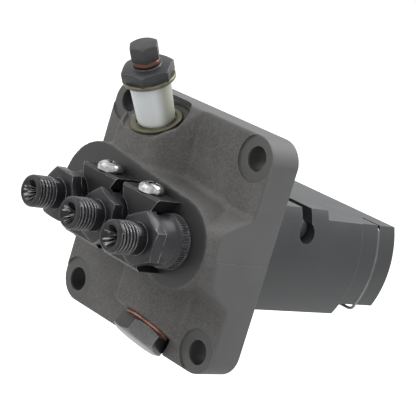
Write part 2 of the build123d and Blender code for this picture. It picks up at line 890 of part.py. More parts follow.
# Control rack: a round bar with a stretch of teeth over each sleeve
rack_pitch = pi * gear_module
with BuildPart() as control_rack:
    with BuildSketch(Plane.YZ.offset(-rack_half_length)):
        with Locations((rack_y, rack_z)):
            Circle(rack_radius)
    extrude(amount=2 * rack_half_length)
    chamfer(control_rack.edges().filter_by(GeomType.CIRCLE), rack_end_chamfer)
    slope = tan(radians(pressure_angle))
    low_z = rack_z - rack_radius - cut_margin
    high_z = pitch_radius + dedendum * gear_module
    half_at_pitch = rack_pitch / 4 + tooth_side_gap
    half_low = half_at_pitch + (pitch_radius - low_z) * slope
    half_high = half_at_pitch - (high_z - pitch_radius) * slope
    gaps = [x + step * rack_pitch for x in cylinders for step in range(-rack_end_gaps, rack_end_gaps + 1)]
    with BuildSketch(front_plane(0, rack_y + rack_radius)):
        for middle in gaps:
            with BuildLine():
                Polyline(
                    (middle - half_low, low_z),
                    (middle + half_low, low_z),
                    (middle + half_high, high_z),
                    (middle - half_high, high_z),
                    close=True,
                )
            make_face()
        # The tooth tips are cut to one line
        with Locations((0, pitch_radius - gear_module - rack_radius / 2)):
            Rectangle(2 * (rack_half_length + cut_margin), rack_radius)
    extrude(amount=2 * rack_radius, mode=Mode.SUBTRACT)
    with BuildSketch(Plane.XY.offset(link_pin_foot_z)):
        with Locations((link_pin_x, rack_y)):
            Circle(link_pin_radius)
    extrude(amount=2 * rack_radius, mode=Mode.SUBTRACT)
save(control_rack, "control_rack")

# Pin of the governor's lever: its shank stands in the rack, its journal above the slot
with BuildPart() as link_pin:
    with BuildSketch(Plane.XY.offset(link_pin_foot_z)):
        with Locations((link_pin_x, rack_y)):
            Circle(link_pin_radius)
    extrude(amount=link_journal_z - link_pin_foot_z)
    with BuildSketch(Plane.XY.offset(link_journal_z)):
        with Locations((link_pin_x, rack_y)):
            Circle(link_journal_radius)
    extrude(amount=link_journal_length + link_pin_chamfer)
    chamfer(link_pin.faces().sort_by(Axis.Z)[-1].edges(), link_pin_chamfer)
save(link_pin, "rack_link_pin")

# Headed pins that guide the tappets, pressed into the bottom flat
wire_z = end_bottom_z - guide_head_height - running_gap - wire_radius
with BuildPart() as guide_pins:
    with BuildSketch(Plane.XY.offset(end_bottom_z)):
        with Locations(*[(x, guide_pin_y) for x in cylinders]):
            Circle(guide_pin_radius - running_gap)
    extrude(amount=-guide_groove_z - guide_tip_gap - end_bottom_z)
    with BuildSketch(Plane.XY.offset(end_bottom_z)):
        with Locations(*[(x, guide_pin_y) for x in cylinders]):
            Circle(guide_head_radius)
    extrude(amount=-guide_head_height)
save(guide_pins, "tappet_guide_pins")

# Retaining wire: it hooks into the top flat, runs round both sides and under the pins' heads
wire_path_radius = body_end_radius - wire_groove_depth + wire_radius + running_gap
wire_top_z = low_flat_z - wire_groove_depth + wire_radius + running_gap
top_x = sqrt(wire_path_radius**2 - wire_top_z**2)
low_x = sqrt(wire_path_radius**2 - wire_z**2)
with BuildPart() as retaining_wire:
    with BuildLine(front_plane(0, guide_pin_y)) as wire_path:
        Line((-wire_hook_x, wire_top_z - wire_hook_depth), (-wire_hook_x, wire_top_z))
        Line((-wire_hook_x, wire_top_z), (-top_x, wire_top_z))
        ThreePointArc((-top_x, wire_top_z), (-wire_path_radius, 0), (-low_x, wire_z))
        Line((-low_x, wire_z), (low_x, wire_z))
        ThreePointArc((low_x, wire_z), (wire_path_radius, 0), (top_x, wire_top_z))
        Line((top_x, wire_top_z), (wire_hook_x, wire_top_z))
        Line((wire_hook_x, wire_top_z), (wire_hook_x, wire_top_z - wire_hook_depth))
        fillet(vertices().filter_by(lambda v: abs(v.Z) > 0), wire_bend_radius)
    with BuildSketch(Plane(origin=wire_path.line @ 0, z_dir=wire_path.line % 0)):
        RegularPolygon(radius=wire_radius, side_count=wire_sides)
    sweep(path=wire_path.line)
save(retaining_wire, "retaining_wire")


def make_lock_plates(x, number):
    """Two halves of the clamp between two collars, drawn together by one screw."""
    for side, edge_z, name in ((1, lock_top_z, "upper"), (-1, lock_bottom_z, "lower")):
        corner_z = side * lock_waist_z
        arc_z = side * lock_arc_z
        split_z = lock_split_z + side * lock_split / 2
        middle_z = (arc_z + split_z) / 2
        reach = [pitch / 2 - sqrt(lock_arc_radius**2 - z**2) for z in (arc_z, middle_z, split_z)]
        with BuildPart() as lock_plate:
            with BuildSketch(front_plane(x, boss_front_y)):
                with BuildLine():
                    Polyline(
                        (-reach[0], arc_z),
                        (-lock_waist_x, corner_z),
                        (-lock_half_width, edge_z),
                        (lock_half_width, edge_z),
                        (lock_waist_x, corner_z),
                        (reach[0], arc_z),
                    )
                    ThreePointArc((reach[0], arc_z), (reach[1], middle_z), (reach[2], split_z))
                    Line((reach[2], split_z), (-reach[2], split_z))
                    ThreePointArc((-reach[2], split_z), (-reach[1], middle_z), (-reach[0], arc_z))
                make_face()
            extrude(amount=boss_front_y - lock_front_y)
            chamfer(lock_plate.faces().sort_by(Axis.Y)[0].edges().filter_by(Axis.X), lock_chamfer)
            with BuildSketch(Plane.XY.offset(lock_screw_end_z - cut_margin)):
                with Locations((x, lock_screw_y)):
                    Circle(lock_screw_radius + thread_gap)
            extrude(amount=lock_top_z - lock_screw_end_z + 2 * cut_margin, mode=Mode.SUBTRACT)
        save(lock_plate, f"lock_plate_{name}_{number}")


lock_middles = (-pitch / 2, pitch / 2)
for number, x in enumerate(lock_middles, start=1):
    make_lock_plates(x, number)

with BuildPart() as lock_screws:
    for x in lock_middles:
        with BuildSketch(Plane(origin=(x, lock_screw_y, 0), x_dir=(1, 0, 0), z_dir=(0, -1, 0))):
            with BuildLine():
                Polyline(
                    (0, lock_top_z + lock_head_height),
                    (0, lock_screw_end_z),
                    (lock_screw_radius, lock_screw_end_z),
                    (lock_screw_radius, lock_top_z),
                    (lock_head_radius, lock_top_z),
                    (lock_head_radius, lock_top_z + lock_head_edge),
                )
                TangentArc(
                    (0, lock_top_z + lock_head_height),
                    (lock_head_radius, lock_top_z + lock_head_edge),
                    tangent=(1, 0),
                )
            make_face()
        revolve(axis=Axis((x, lock_screw_y, 0), (0, 0, 1)))
save(lock_screws, "lock_screws")


def make_washer(plane, height, thickness, outer, inner, label):
    """Flat ring standing at a height on a tilted seat."""
    with BuildPart() as washer:
        with BuildSketch(plane.offset(height)):
            Circle(outer)
            Circle(inner, mode=Mode.SUBTRACT)
        extrude(amount=thickness)
        chamfer(washer.edges().filter_by(GeomType.CIRCLE).group_by(SortBy.LENGTH)[-1], washer_chamfer)
    save(washer, label)


screw_radius = port_radius - thread_gap
washer_bore = port_radius + seating_gap
head_base = spacer_top + washer_thickness
head_top = head_base + inlet_hex_height
bleed_base = head_top + bleed_ring_height
bleed_head_base = bleed_base + bleed_washer_thickness
bleed_end = bleed_base - bleed_thread_length

make_washer(inlet_plane, 0, washer_thickness, inlet_washer_radius, washer_bore, "inlet_washer_lower")
make_washer(
    inlet_plane, spacer_top, washer_thickness, inlet_washer_radius, washer_bore, "inlet_washer_upper"
)
make_washer(
    inlet_plane,
    bleed_base,
    bleed_washer_thickness,
    bleed_washer_radius,
    bleed_thread_radius + seating_gap,
    "bleed_washer",
)

with BuildPart() as inlet_spacer:
    with BuildSketch(inlet_plane.offset(washer_thickness)):
        Circle(spacer_radius_bottom)
    with BuildSketch(inlet_plane.offset(spacer_top)):
        Circle(spacer_radius_top)
    loft()
    with BuildSketch(inlet_plane.offset(washer_thickness)):
        Circle(spacer_bore_radius)
    extrude(amount=spacer_top - washer_thickness, mode=Mode.SUBTRACT)
save(inlet_spacer, "inlet_spacer")

with BuildPart() as inlet_screw:
    hexagon_head(inlet_plane.offset(head_base), inlet_flats, inlet_hex_height, inlet_hex_turn, False)
    with BuildSketch(inlet_plane.offset(inlet_screw_end)):
        Circle(screw_radius)
    extrude(amount=head_base - inlet_screw_end)
    with BuildSketch(inlet_plane.offset(head_top)):
        Circle(bleed_ring_radius)
    extrude(amount=bleed_ring_height)
    with BuildSketch(inlet_plane.offset(inlet_screw_end)):
        Circle(inlet_bore_radius)
    extrude(amount=bleed_end - cut_margin - inlet_screw_end, mode=Mode.SUBTRACT)
    with BuildSketch(inlet_plane.offset(bleed_end - 2 * cut_margin)):
        Circle(bleed_thread_radius)
    extrude(amount=bleed_thread_length + 3 * cut_margin, mode=Mode.SUBTRACT)
    # Two cross holes pass the fuel from a banjo, which takes the spacer's place
    across = Plane(
        origin=inlet_plane.offset(spacer_top / 2).origin, x_dir=inlet_plane.z_dir, z_dir=(1, 0, 0)
    )
    with BuildSketch(across.offset(-port_radius)):
        Circle(cross_hole_radius)
    extrude(amount=2 * port_radius, mode=Mode.SUBTRACT)
save(inlet_screw, "inlet_hollow_screw")

with BuildPart() as bleed_screw:
    hexagon_head(inlet_plane.offset(bleed_head_base), bleed_flats, bleed_head_height, bleed_turn, False)
    with BuildSketch(inlet_plane.offset(bleed_end)):
        Circle(bleed_thread_radius - thread_gap)
    extrude(amount=bleed_head_base - bleed_end)
save(bleed_screw, "bleed_screw")

plug_bore = plug_thread_radius + seating_gap
make_washer(plug_plane, 0, plug_washer_thickness, plug_washer_radius, plug_bore, "gallery_plug_washer")
with BuildPart() as gallery_plug:
    hexagon_head(
        plug_plane.offset(plug_washer_thickness), plug_flats, plug_head_height, plug_turn, True
    )
    with BuildSketch(plug_plane.offset(-plug_thread_length)):
        Circle(plug_thread_radius)
    extrude(amount=plug_thread_length + plug_washer_thickness)
save(gallery_plug, "gallery_plug")
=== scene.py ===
# %% [markdown]
# # A three-cylinder diesel injection pump
# The engineering parts come in first, as a fixed frame. Every piece that this lesson models sits
# where its engineering part sits, in metres, with the origin in the middle of the flange's bolts.
# -Y is the front with the outlets, +Y goes into the engine and +Z is up.

# %% Load the frame
import json
import math
import bpy
from mathutils import Matrix, Vector


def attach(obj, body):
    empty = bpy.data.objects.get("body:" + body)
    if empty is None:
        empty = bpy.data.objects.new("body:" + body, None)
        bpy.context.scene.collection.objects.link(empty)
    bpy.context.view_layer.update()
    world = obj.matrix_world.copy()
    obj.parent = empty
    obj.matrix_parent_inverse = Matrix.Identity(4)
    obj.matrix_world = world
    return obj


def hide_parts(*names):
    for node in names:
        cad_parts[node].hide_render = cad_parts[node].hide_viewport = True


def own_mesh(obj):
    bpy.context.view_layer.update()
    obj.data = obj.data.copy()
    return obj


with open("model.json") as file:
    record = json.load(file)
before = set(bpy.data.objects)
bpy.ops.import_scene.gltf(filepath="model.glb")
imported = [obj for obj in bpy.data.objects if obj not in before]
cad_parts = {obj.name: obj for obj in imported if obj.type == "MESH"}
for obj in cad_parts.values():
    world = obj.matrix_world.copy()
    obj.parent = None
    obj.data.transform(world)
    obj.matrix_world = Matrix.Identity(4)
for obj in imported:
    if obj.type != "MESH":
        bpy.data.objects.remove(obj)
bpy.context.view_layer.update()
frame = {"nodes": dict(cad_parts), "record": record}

# %% [markdown]
# ## Units and small helpers
# The drawings of such a pump are in millimetres, so sizes are written that way and turned into metres
# once, by `mm`. Blender's operators act on whatever is selected, so each step starts by selecting
# one piece alone. A finished piece keeps its place in its mesh, and its object stays at the origin.

# %% Helpers for selecting, placing and finishing
mm = 0.001


def only(piece):
    """Select one piece alone and make it active."""
    bpy.ops.object.select_all(action="DESELECT")
    piece.select_set(True)
    bpy.context.view_layer.objects.active = piece


def added(name):
    """Name the piece that an operator has just added."""
    piece = bpy.context.object
    piece.name = name
    piece.data.name = name
    return piece


def settle(piece):
    """Write a piece's place, turn and size into its mesh."""
    only(piece)
    bpy.ops.object.transform_apply(location=True, rotation=True, scale=True)
    return piece


def stand(piece, origin, x_dir, z_dir):
    """Move a piece that was made upright at the origin onto a plane given in millimetres."""
    z_axis = Vector(z_dir).normalized()
    x_axis = Vector(x_dir).normalized()
    y_axis = z_axis.cross(x_axis)
    turn = Matrix((x_axis, y_axis, z_axis)).transposed().to_4x4()
    piece.matrix_world = Matrix.Translation(Vector(origin) * mm) @ turn
    bpy.context.view_layer.update()
    return settle(piece)


def modify(piece, kind, **settings):
    """Add a modifier, set it up and apply it."""
    only(piece)
    modifier = piece.modifiers.new(kind.lower(), kind)
    for key, value in settings.items():
        setattr(modifier, key, value)
    bpy.ops.object.modifier_apply(modifier=modifier.name)


def carve(piece, cutter, operation="DIFFERENCE"):
    """Cut one closed piece by another, or join or intersect them, and delete the cutter."""
    modify(piece, "BOOLEAN", object=cutter, operation=operation, solver="EXACT")
    bpy.data.objects.remove(cutter)
    return piece


def merge(pieces, name):
    """Join several closed pieces into one object."""
    bpy.ops.object.select_all(action="DESELECT")
    for piece in pieces:
        piece.select_set(True)
    bpy.context.view_layer.objects.active = pieces[0]
    bpy.ops.object.join()
    return added(name)


def twin(piece):
    """Copy a piece, with a mesh of its own."""
    other = piece.copy()
    other.data = piece.data.copy()
    bpy.context.collection.objects.link(other)
    return other


def in_edit(piece, *operators):
    """Run edit-mode operators on all of a piece's mesh."""
    only(piece)
    bpy.ops.object.mode_set(mode="EDIT")
    bpy.ops.mesh.select_all(action="SELECT")
    for operator in operators:
        operator()
    bpy.ops.object.mode_set(mode="OBJECT")
    return piece


def outward():
    """Turn all selected faces outwards."""
    bpy.ops.mesh.normals_make_consistent(inside=False)


def finish(piece, body, material, angle=35, stands_for=()):
    """Smooth a piece, give it its material, and let it ride on its body."""
    only(piece)
    bpy.ops.object.shade_smooth_by_angle(angle=math.radians(angle))
    piece.data.materials.clear()
    piece.data.materials.append(material)
    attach(piece, body)
    if stands_for:
        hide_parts(*stands_for)
    print(piece.name, "has", len(piece.data.polygons), "faces and rides on", body)


# %% [markdown]
# ## Turning a piece as on a lathe
# Most pieces of a pump are turned, so one helper does it: a flat disc is extruded along Z and resized at
# each station of the profile. A station is a radius and a height. The profile may come back down
# inside the piece, which makes a mouth or a bore. A profile that ends where it began makes a ring,
# so it starts from a bare circle instead of a disc, or that disc would be left inside the ring.

# %% The lathe helper
def clean(piece, distance=0.004):
    """Merge points that a cut or a bevel left almost in one place, and drop faces without area."""
    in_edit(
        piece,
        lambda: bpy.ops.mesh.remove_doubles(threshold=distance * mm),
        lambda: bpy.ops.mesh.dissolve_degenerate(threshold=distance * mm),
        outward,
    )


def break_edges(piece, width, segments, angle):
    """Take the sharpness off the edges that are sharper than an angle."""
    clean(piece)
    modify(piece, "BEVEL", width=width * mm, segments=segments, limit_method="ANGLE",
           angle_limit=math.radians(angle))
    clean(piece)


def turned(name, stations, sides=96):
    """Closed piece round Z from (radius, height) stations in millimetres."""
    radius, height = stations[0]
    fill = "NOTHING" if stations[0] == stations[-1] else "NGON"
    bpy.ops.mesh.primitive_circle_add(
        vertices=sides, radius=radius * mm, fill_type=fill, location=(0, 0, height * mm)
    )
    piece = settle(added(name))
    bpy.ops.object.mode_set(mode="EDIT")
    bpy.ops.mesh.select_mode(type="VERT")
    bpy.ops.mesh.select_all(action="SELECT")
    for next_radius, next_height in stations[1:]:
        step = (0, 0, (next_height - height) * mm)
        bpy.ops.mesh.extrude_region_move(TRANSFORM_OT_translate={"value": step})
        ratio = next_radius / radius
        if abs(ratio - 1) > 1e-6:
            bpy.ops.transform.resize(
                value=(ratio, ratio, 1), center_override=(0, 0, next_height * mm)
            )
        radius, height = next_radius, next_height
    bpy.ops.mesh.select_all(action="SELECT")
    bpy.ops.mesh.remove_doubles(threshold=1e-7)
    outward()
    bpy.ops.object.mode_set(mode="OBJECT")
    return piece


def hexagon(name, flats, height, turn, base=0.0, round_base=True):
    """Hexagon with its corners turned down, standing on Z = base."""
    corner = flats / math.sqrt(3)
    land = 0.96 * flats / 2
    drop = (corner - land) * math.tan(math.radians(30))
    top = base + height
    bpy.ops.mesh.primitive_cylinder_add(
        vertices=6, radius=corner * mm, depth=height * mm, location=(0, 0, (base + height / 2) * mm)
    )
    piece = settle(added(name))
    piece.rotation_euler = (0, 0, math.radians(turn + 30))
    settle(piece)
    foot = [(land, base), (corner + 0.2, base + drop)] if round_base else [(corner + 0.2, base)]
    envelope = turned("envelope", foot + [(corner + 0.2, top - drop), (land, top)], 120)
    return carve(piece, envelope, "INTERSECT")


# %% [markdown]
# ## Main sizes
# The finishes and the shapes share these sizes. A seat is the middle of a washer's face, and its out
# direction is the screw's axis. The screws lean forward, one up and one down.

# %% Sizes of the housing, in millimetres
flange_side = 92.0
flange_depth = 14.3
spot_depth = 13.5
boss_front = -29.5
boss_left = (-24.7, 2.3, 19.6)
boss_right = (25.2, 0.0, 16.9)
draft = 0.6
pitch = 24.7
bolt_at = 37.5
inlet_seat = (-12.35, -19.6, 35.6)
inlet_out = (0, -math.sin(math.radians(32)), math.cos(math.radians(32)))
plug_seat = (12.35, -17.4, -36.7)
plug_out = (0, -math.sin(math.radians(30)), -math.cos(math.radians(30)))
spare = 3.0
half = flange_side / 2
mould_shift = 0.2
rack_y, rack_z = 22.9, 12.5
wire_y = 65.8
groove_start, groove_end = 65.05, 66.55
to_right, to_front, to_back, to_top = (1, 0, 0), (0, -1, 0), (0, 1, 0), (0, 0, 1)
print("flange side, depth and cylinder pitch:", flange_side, flange_depth, pitch)

# %% [markdown]
# ## Finishes as node groups
# Cast iron, black steel and plated washers share three effects: worn edges, fine grain and soft
# stains. Each is a node group with inputs, built once and placed in every material with its own
# values. A group puts out masks and heights only, and the shader itself stays in the material.

# %% The shared node groups
def new_group(name, inputs, outputs):
    """Empty shader node group with number sockets."""
    group = bpy.data.node_groups.new(name, "ShaderNodeTree")
    for label, default in inputs:
        socket = group.interface.new_socket(name=label, in_out="INPUT", socket_type="NodeSocketFloat")
        socket.default_value = default
    for label in outputs:
        group.interface.new_socket(name=label, in_out="OUTPUT", socket_type="NodeSocketFloat")
    return group, group.nodes.new("NodeGroupInput"), group.nodes.new("NodeGroupOutput")


def noise(tree, coordinates, scale, detail, roughness=0.55):
    """Noise texture on given coordinates, with a number or a socket as its scale."""
    node = tree.nodes.new("ShaderNodeTexNoise")
    node.inputs["Detail"].default_value = detail
    node.inputs["Roughness"].default_value = roughness
    tree.links.new(coordinates, node.inputs["Vector"])
    if isinstance(scale, (int, float)):
        node.inputs["Scale"].default_value = scale
    else:
        tree.links.new(scale, node.inputs["Scale"])
    return node.outputs["Fac"]


def math_node(tree, operation, a, b=None, c=None, clamp=False):
    """Math node fed by sockets or numbers."""
    node = tree.nodes.new("ShaderNodeMath")
    node.operation = operation
    node.use_clamp = clamp
    for socket, value in zip(node.inputs, (a, b, c)):
        if isinstance(value, (int, float)):
            socket.default_value = value
        elif value is not None:
            tree.links.new(value, socket)
    return node.outputs[0]


def times(tree, a, b, clamp=False):
    """Product of two sockets or numbers."""
    return math_node(tree, "MULTIPLY", a, b, clamp=clamp)


def inverse(tree, mask):
    """One minus a mask."""
    return math_node(tree, "SUBTRACT", 1.0, mask)


def stretch(tree, value, low, high):
    """Map a value so that low gives 0 and high gives 1."""
    node = tree.nodes.new("ShaderNodeMapRange")
    node.interpolation_type = "SMOOTHSTEP"
    tree.links.new(value, node.inputs["Value"])
    node.inputs["From Min"].default_value = low
    node.inputs["From Max"].default_value = high
    return node.outputs["Result"]


def edge_wear_group():
    """Mask of worn convex edges: where a rounded normal leaves the true one, broken up by noise."""
    group, given, put = new_group("edge wear", [("Radius", 0.0006), ("Breakup", 0.5)], ["Mask"])
    place = group.nodes.new("ShaderNodeTexCoord")
    bevel = group.nodes.new("ShaderNodeBevel")
    bevel.samples = 6
    group.links.new(given.outputs["Radius"], bevel.inputs["Radius"])
    geometry = group.nodes.new("ShaderNodeNewGeometry")
    dot = group.nodes.new("ShaderNodeVectorMath")
    dot.operation = "DOT_PRODUCT"
    group.links.new(bevel.outputs["Normal"], dot.inputs[0])
    group.links.new(geometry.outputs["Normal"], dot.inputs[1])
    edge = stretch(group, inverse(group, dot.outputs["Value"]), 0.02, 0.16)
    patch = stretch(group, noise(group, place.outputs["Object"], 420.0, 3.0), 0.36, 0.62)
    kept = times(group, inverse(group, patch), given.outputs["Breakup"])
    mask = times(group, edge, inverse(group, kept), clamp=True)
    group.links.new(mask, put.inputs["Mask"])
    return group


def grain_group():
    """Fine grain of a sand-cast or blasted skin, as a height and as light and dark specks."""
    group, given, put = new_group("cast grain", [("Scale", 1400.0)], ["Height", "Specks"])
    place = group.nodes.new("ShaderNodeTexCoord")
    fine = noise(group, place.outputs["Object"], given.outputs["Scale"], 4.0, 0.65)
    coarse = noise(group, place.outputs["Object"], times(group, given.outputs["Scale"], 0.22), 3.0)
    height = math_node(group, "ADD", times(group, fine, 0.7), times(group, coarse, 0.5))
    group.links.new(height, put.inputs["Height"])
    group.links.new(stretch(group, fine, 0.34, 0.7), put.inputs["Specks"])
    return group


def stain_group():
    """Slow changes of tone, as oil, handling and phosphate leave them."""
    group, given, put = new_group("soft stains", [("Scale", 30.0)], ["Mask"])
    place = group.nodes.new("ShaderNodeTexCoord")
    broad = noise(group, place.outputs["Object"], given.outputs["Scale"], 5.0, 0.6)
    group.links.new(stretch(group, broad, 0.32, 0.68), put.inputs["Mask"])
    return group


shared = {"wear": edge_wear_group(), "grain": grain_group(), "stain": stain_group()}
print("node groups:", [group.name for group in shared.values()])

# %% [markdown]
# ## One recipe for metal
# The finishes differ in colour, gloss, grain and how much bare metal shows at the edges. The recipe
# mixes a dark and a light tone by the stains, adds specks, and lays worn metal over the edges.

# %% The metal recipe
def placed(tree, kind, **values):
    """Put a shared node group into a material."""
    node = tree.nodes.new("ShaderNodeGroup")
    node.node_tree = shared[kind]
    for key, value in values.items():
        node.inputs[key.capitalize()].default_value = value
    return node


def blend(tree, factor, first, second):
    """Mix two colours, each a tuple or a socket."""
    node = tree.nodes.new("ShaderNodeMix")
    node.data_type = "RGBA"
    if isinstance(factor, (int, float)):
        node.inputs["Factor"].default_value = factor
    else:
        tree.links.new(factor, node.inputs["Factor"])
    for socket, value in ((node.inputs[6], first), (node.inputs[7], second)):
        if isinstance(value, tuple):
            socket.default_value = (*value, 1.0)
        else:
            tree.links.new(value, socket)
    return node.outputs[2]


def crevice(tree, distance, low, high):
    """Mask of corners that light hardly reaches: 1 deep inside, 0 in the open."""
    node = tree.nodes.new("ShaderNodeAmbientOcclusion")
    node.samples = 8
    node.inputs["Distance"].default_value = distance
    return stretch(tree, node.outputs["AO"], high, low)


def new_material(name):
    """Material, its node tree and its main shader."""
    material = bpy.data.materials.new(name)
    material.use_nodes = True
    return material, material.node_tree, material.node_tree.nodes["Principled BSDF"]


def roughen(tree, shader, height, distance, strength):
    """Turn a height into the shader's normal."""
    bump = tree.nodes.new("ShaderNodeBump")
    bump.inputs["Distance"].default_value = distance
    bump.inputs["Strength"].default_value = strength
    tree.links.new(height, bump.inputs["Height"])
    tree.links.new(bump.outputs["Normal"], shader.inputs["Normal"])


def metal(name, dark, light, worn, metallic, rough, grain_size, grain_depth, speck=0.2,
          wear_radius=0.0005, wear=0.8, breakup=0.6, stain_size=30.0, recess_shade=0.0):
    """Procedural metal finish with stains, grain, worn edges and its own gloss, and painted shade in recesses
    when asked.
    """
    material, tree, shader = new_material(name)
    shader.inputs["Metallic"].default_value = metallic
    stain = placed(tree, "stain", scale=stain_size).outputs["Mask"]
    grain = placed(tree, "grain", scale=grain_size)
    edge = placed(tree, "wear", radius=wear_radius, breakup=breakup).outputs["Mask"]
    base = blend(tree, stain, dark, light)
    specks = times(tree, grain.outputs["Specks"], speck)
    base = blend(tree, specks, base, tuple(min(1.0, 1.9 * v + 0.01) for v in light))
    edge = times(tree, edge, wear)
    base = blend(tree, edge, base, worn)
    if recess_shade:
        # Painted shade: recesses that light hardly reaches are darkened towards black.
        deep = times(tree, crevice(tree, 0.0025, 0.45, 0.85), recess_shade)
        base = blend(tree, deep, base, (0.01, 0.01, 0.01))
    tree.links.new(base, shader.inputs["Base Color"])
    gloss = math_node(tree, "ADD", times(tree, stain, 0.1), rough - 0.05)
    gloss = math_node(tree, "SUBTRACT", gloss, times(tree, edge, 0.12), clamp=True)
    tree.links.new(gloss, shader.inputs["Roughness"])
    roughen(tree, shader, grain.outputs["Height"], grain_depth, 0.8)
    return material


def place_parts(tree):
    """Object coordinates as three sockets."""
    place = tree.nodes.new("ShaderNodeTexCoord")
    parts = tree.nodes.new("ShaderNodeSeparateXYZ")
    tree.links.new(place.outputs["Object"], parts.inputs[0])
    return parts.outputs


def cast_iron(name):
    """Sand-cast skin, with milled faces and planed sides told apart by their place, lighter ridges of wear
    and painted highlight, and painted shade in creases, hollows and bolt holes.
    """
    material, tree, shader = new_material(name)
    x, y, z = place_parts(tree)
    # The bounds below are places in metres: the flange's sides, its spot faces and the boss's front
    stain = placed(tree, "stain", scale=38.0).outputs["Mask"]
    grain = placed(tree, "grain", scale=1350.0)
    skin = tree.nodes.new("ShaderNodeNewGeometry")
    facing = tree.nodes.new("ShaderNodeSeparateXYZ")
    tree.links.new(skin.outputs["Normal"], facing.inputs[0])
    turned_away = stretch(tree, math_node(tree, "ABSOLUTE", facing.outputs["Y"]), 0.4, 0.2)
    plate_edge = times(tree, turned_away, stretch(tree, y, -0.0145, -0.0138))
    reach = math_node(tree, "MAXIMUM", math_node(tree, "ABSOLUTE", x), math_node(tree, "ABSOLUTE", z))
    side = math_node(tree, "MAXIMUM", stretch(tree, reach, 0.0449, 0.0455), plate_edge)
    off_side = inverse(tree, side)
    front = stretch(tree, y, -0.0290, -0.0293)
    off_spot = math_node(tree, "ABSOLUTE", math_node(tree, "ADD", y, spot_depth * mm))
    spot = times(tree, stretch(tree, off_spot, 0.0003, 0.0001), off_side)
    milled = math_node(tree, "MAXIMUM", front, spot)
    rough_part = inverse(tree, times(tree, 0.85, math_node(tree, "MAXIMUM", milled, side)))
    base = blend(tree, stain, (0.07, 0.068, 0.0655), (0.112, 0.11, 0.107))
    specks = times(tree, grain.outputs["Specks"], times(tree, rough_part, 0.5))
    base = blend(tree, specks, base, (0.19, 0.186, 0.178))
    base = blend(tree, times(tree, spot, 0.6), base, (0.062, 0.062, 0.06))
    base = blend(tree, front, base, (0.03, 0.031, 0.03))
    base = blend(tree, times(tree, side, 0.7), base, (0.102, 0.104, 0.105))
    # Painted highlight and painted shade from pointiness: convex ridges lighter, partly as edge wear, and
    # concave creases darker, away from the milled faces.
    bend = skin.outputs["Pointiness"]
    off_milled = inverse(tree, math_node(tree, "MAXIMUM", milled, side))
    ridge_wear_and_highlight = times(tree, stretch(tree, bend, 0.53, 0.6), off_milled)
    base = blend(tree, times(tree, ridge_wear_and_highlight, 0.4), base, (0.24, 0.236, 0.228))
    crease_shade = times(tree, stretch(tree, bend, 0.47, 0.4), off_milled)
    base = blend(tree, times(tree, crease_shade, 0.35), base, (0.024, 0.024, 0.023))
    edge = placed(tree, "wear", radius=0.0006, breakup=0.7).outputs["Mask"]
    base = blend(tree, times(tree, edge, 0.5), base, (0.26, 0.256, 0.248))
    # Painted shade: hollows and pockets that light hardly reaches are darkened.
    deep = times(tree, crevice(tree, 0.004, 0.25, 0.55), 0.55)
    base = blend(tree, deep, base, (0.02, 0.02, 0.019))
    # Painted shade: near-black inside the four bolt holes, behind the spot faces.
    off_bolt = [math_node(tree, "SUBTRACT", math_node(tree, "ABSOLUTE", v), bolt_at * mm) for v in (x, z)]
    off_bolt = [times(tree, v, v) for v in off_bolt]
    from_bolt = math_node(tree, "SQRT", math_node(tree, "ADD", *off_bolt))
    bolt_hole_shade = times(tree, stretch(tree, from_bolt, 0.0049, 0.0047), stretch(tree, y, -0.0134, -0.012))
    base = blend(tree, times(tree, bolt_hole_shade, 0.85), base, (0.016, 0.016, 0.017))
    tree.links.new(base, shader.inputs["Base Color"])
    tree.links.new(math_node(tree, "SUBTRACT", 0.66, times(tree, milled, 0.2)), shader.inputs["Roughness"])
    height = times(tree, grain.outputs["Height"], rough_part)
    roughen(tree, shader, height, 0.00014, 0.9)
    return material


cast_skin = cast_iron("phosphated casting")
machined_skin = metal("machined casting", (0.027, 0.03, 0.031), (0.038, 0.041, 0.043), (0.25, 0.25, 0.25),
                      0.2, 0.42, 2600.0, 0.00002, speck=0.06, wear_radius=0.0005, wear=0.6, stain_size=22.0)
black_holder = metal("black oxide holder", (0.01, 0.01, 0.012), (0.021, 0.021, 0.025), (0.5, 0.5, 0.51),
                     0.2, 0.34, 2200.0, 0.00003, speck=0.08, wear_radius=0.0005, wear=1.0, breakup=0.55)
black_plate = metal("black oxide plate", (0.012, 0.012, 0.013), (0.024, 0.024, 0.025), (0.45, 0.445, 0.44),
                    0.2, 0.42, 1900.0, 0.00003, speck=0.1, wear_radius=0.0005, wear=1.0, breakup=0.6)
# Worn edges, and a lighter tone that stands in for painted sheen on the plug's lit flats.
wear_and_sheen_hexagon = metal("worn and sheen oxide hexagon", (0.1, 0.1, 0.102), (0.2, 0.2, 0.203), (0.7, 0.7, 0.7),
                     0.5, 0.36, 1500.0, 0.00004, speck=0.2, wear_radius=0.0008, wear=1.0, breakup=0.5)
black_hexagon = metal("black oxide hexagon", (0.019, 0.02, 0.022), (0.04, 0.041, 0.043), (0.3, 0.3, 0.3),
                      0.3, 0.42, 1300.0, 0.00006, speck=0.2, wear_radius=0.0005, wear=0.9, breakup=0.6)
zinc_plate = metal("yellow passivated zinc", (0.09, 0.085, 0.05), (0.19, 0.18, 0.125), (0.5, 0.47, 0.36),
                   0.7, 0.38, 1500.0, 0.00002, speck=0.1, wear_radius=0.0003, wear=0.5)
copper_skin = metal("copper", (0.055, 0.024, 0.017), (0.13, 0.062, 0.045), (0.55, 0.34, 0.27),
                    0.85, 0.32, 1500.0, 0.00002, speck=0.08, wear_radius=0.0003, wear=0.6)
bright_copper = metal("bright copper", (0.3, 0.13, 0.09), (0.62, 0.31, 0.23), (0.9, 0.6, 0.5),
                      0.6, 0.34, 1500.0, 0.00002, speck=0.08, wear_radius=0.0003, wear=0.6)
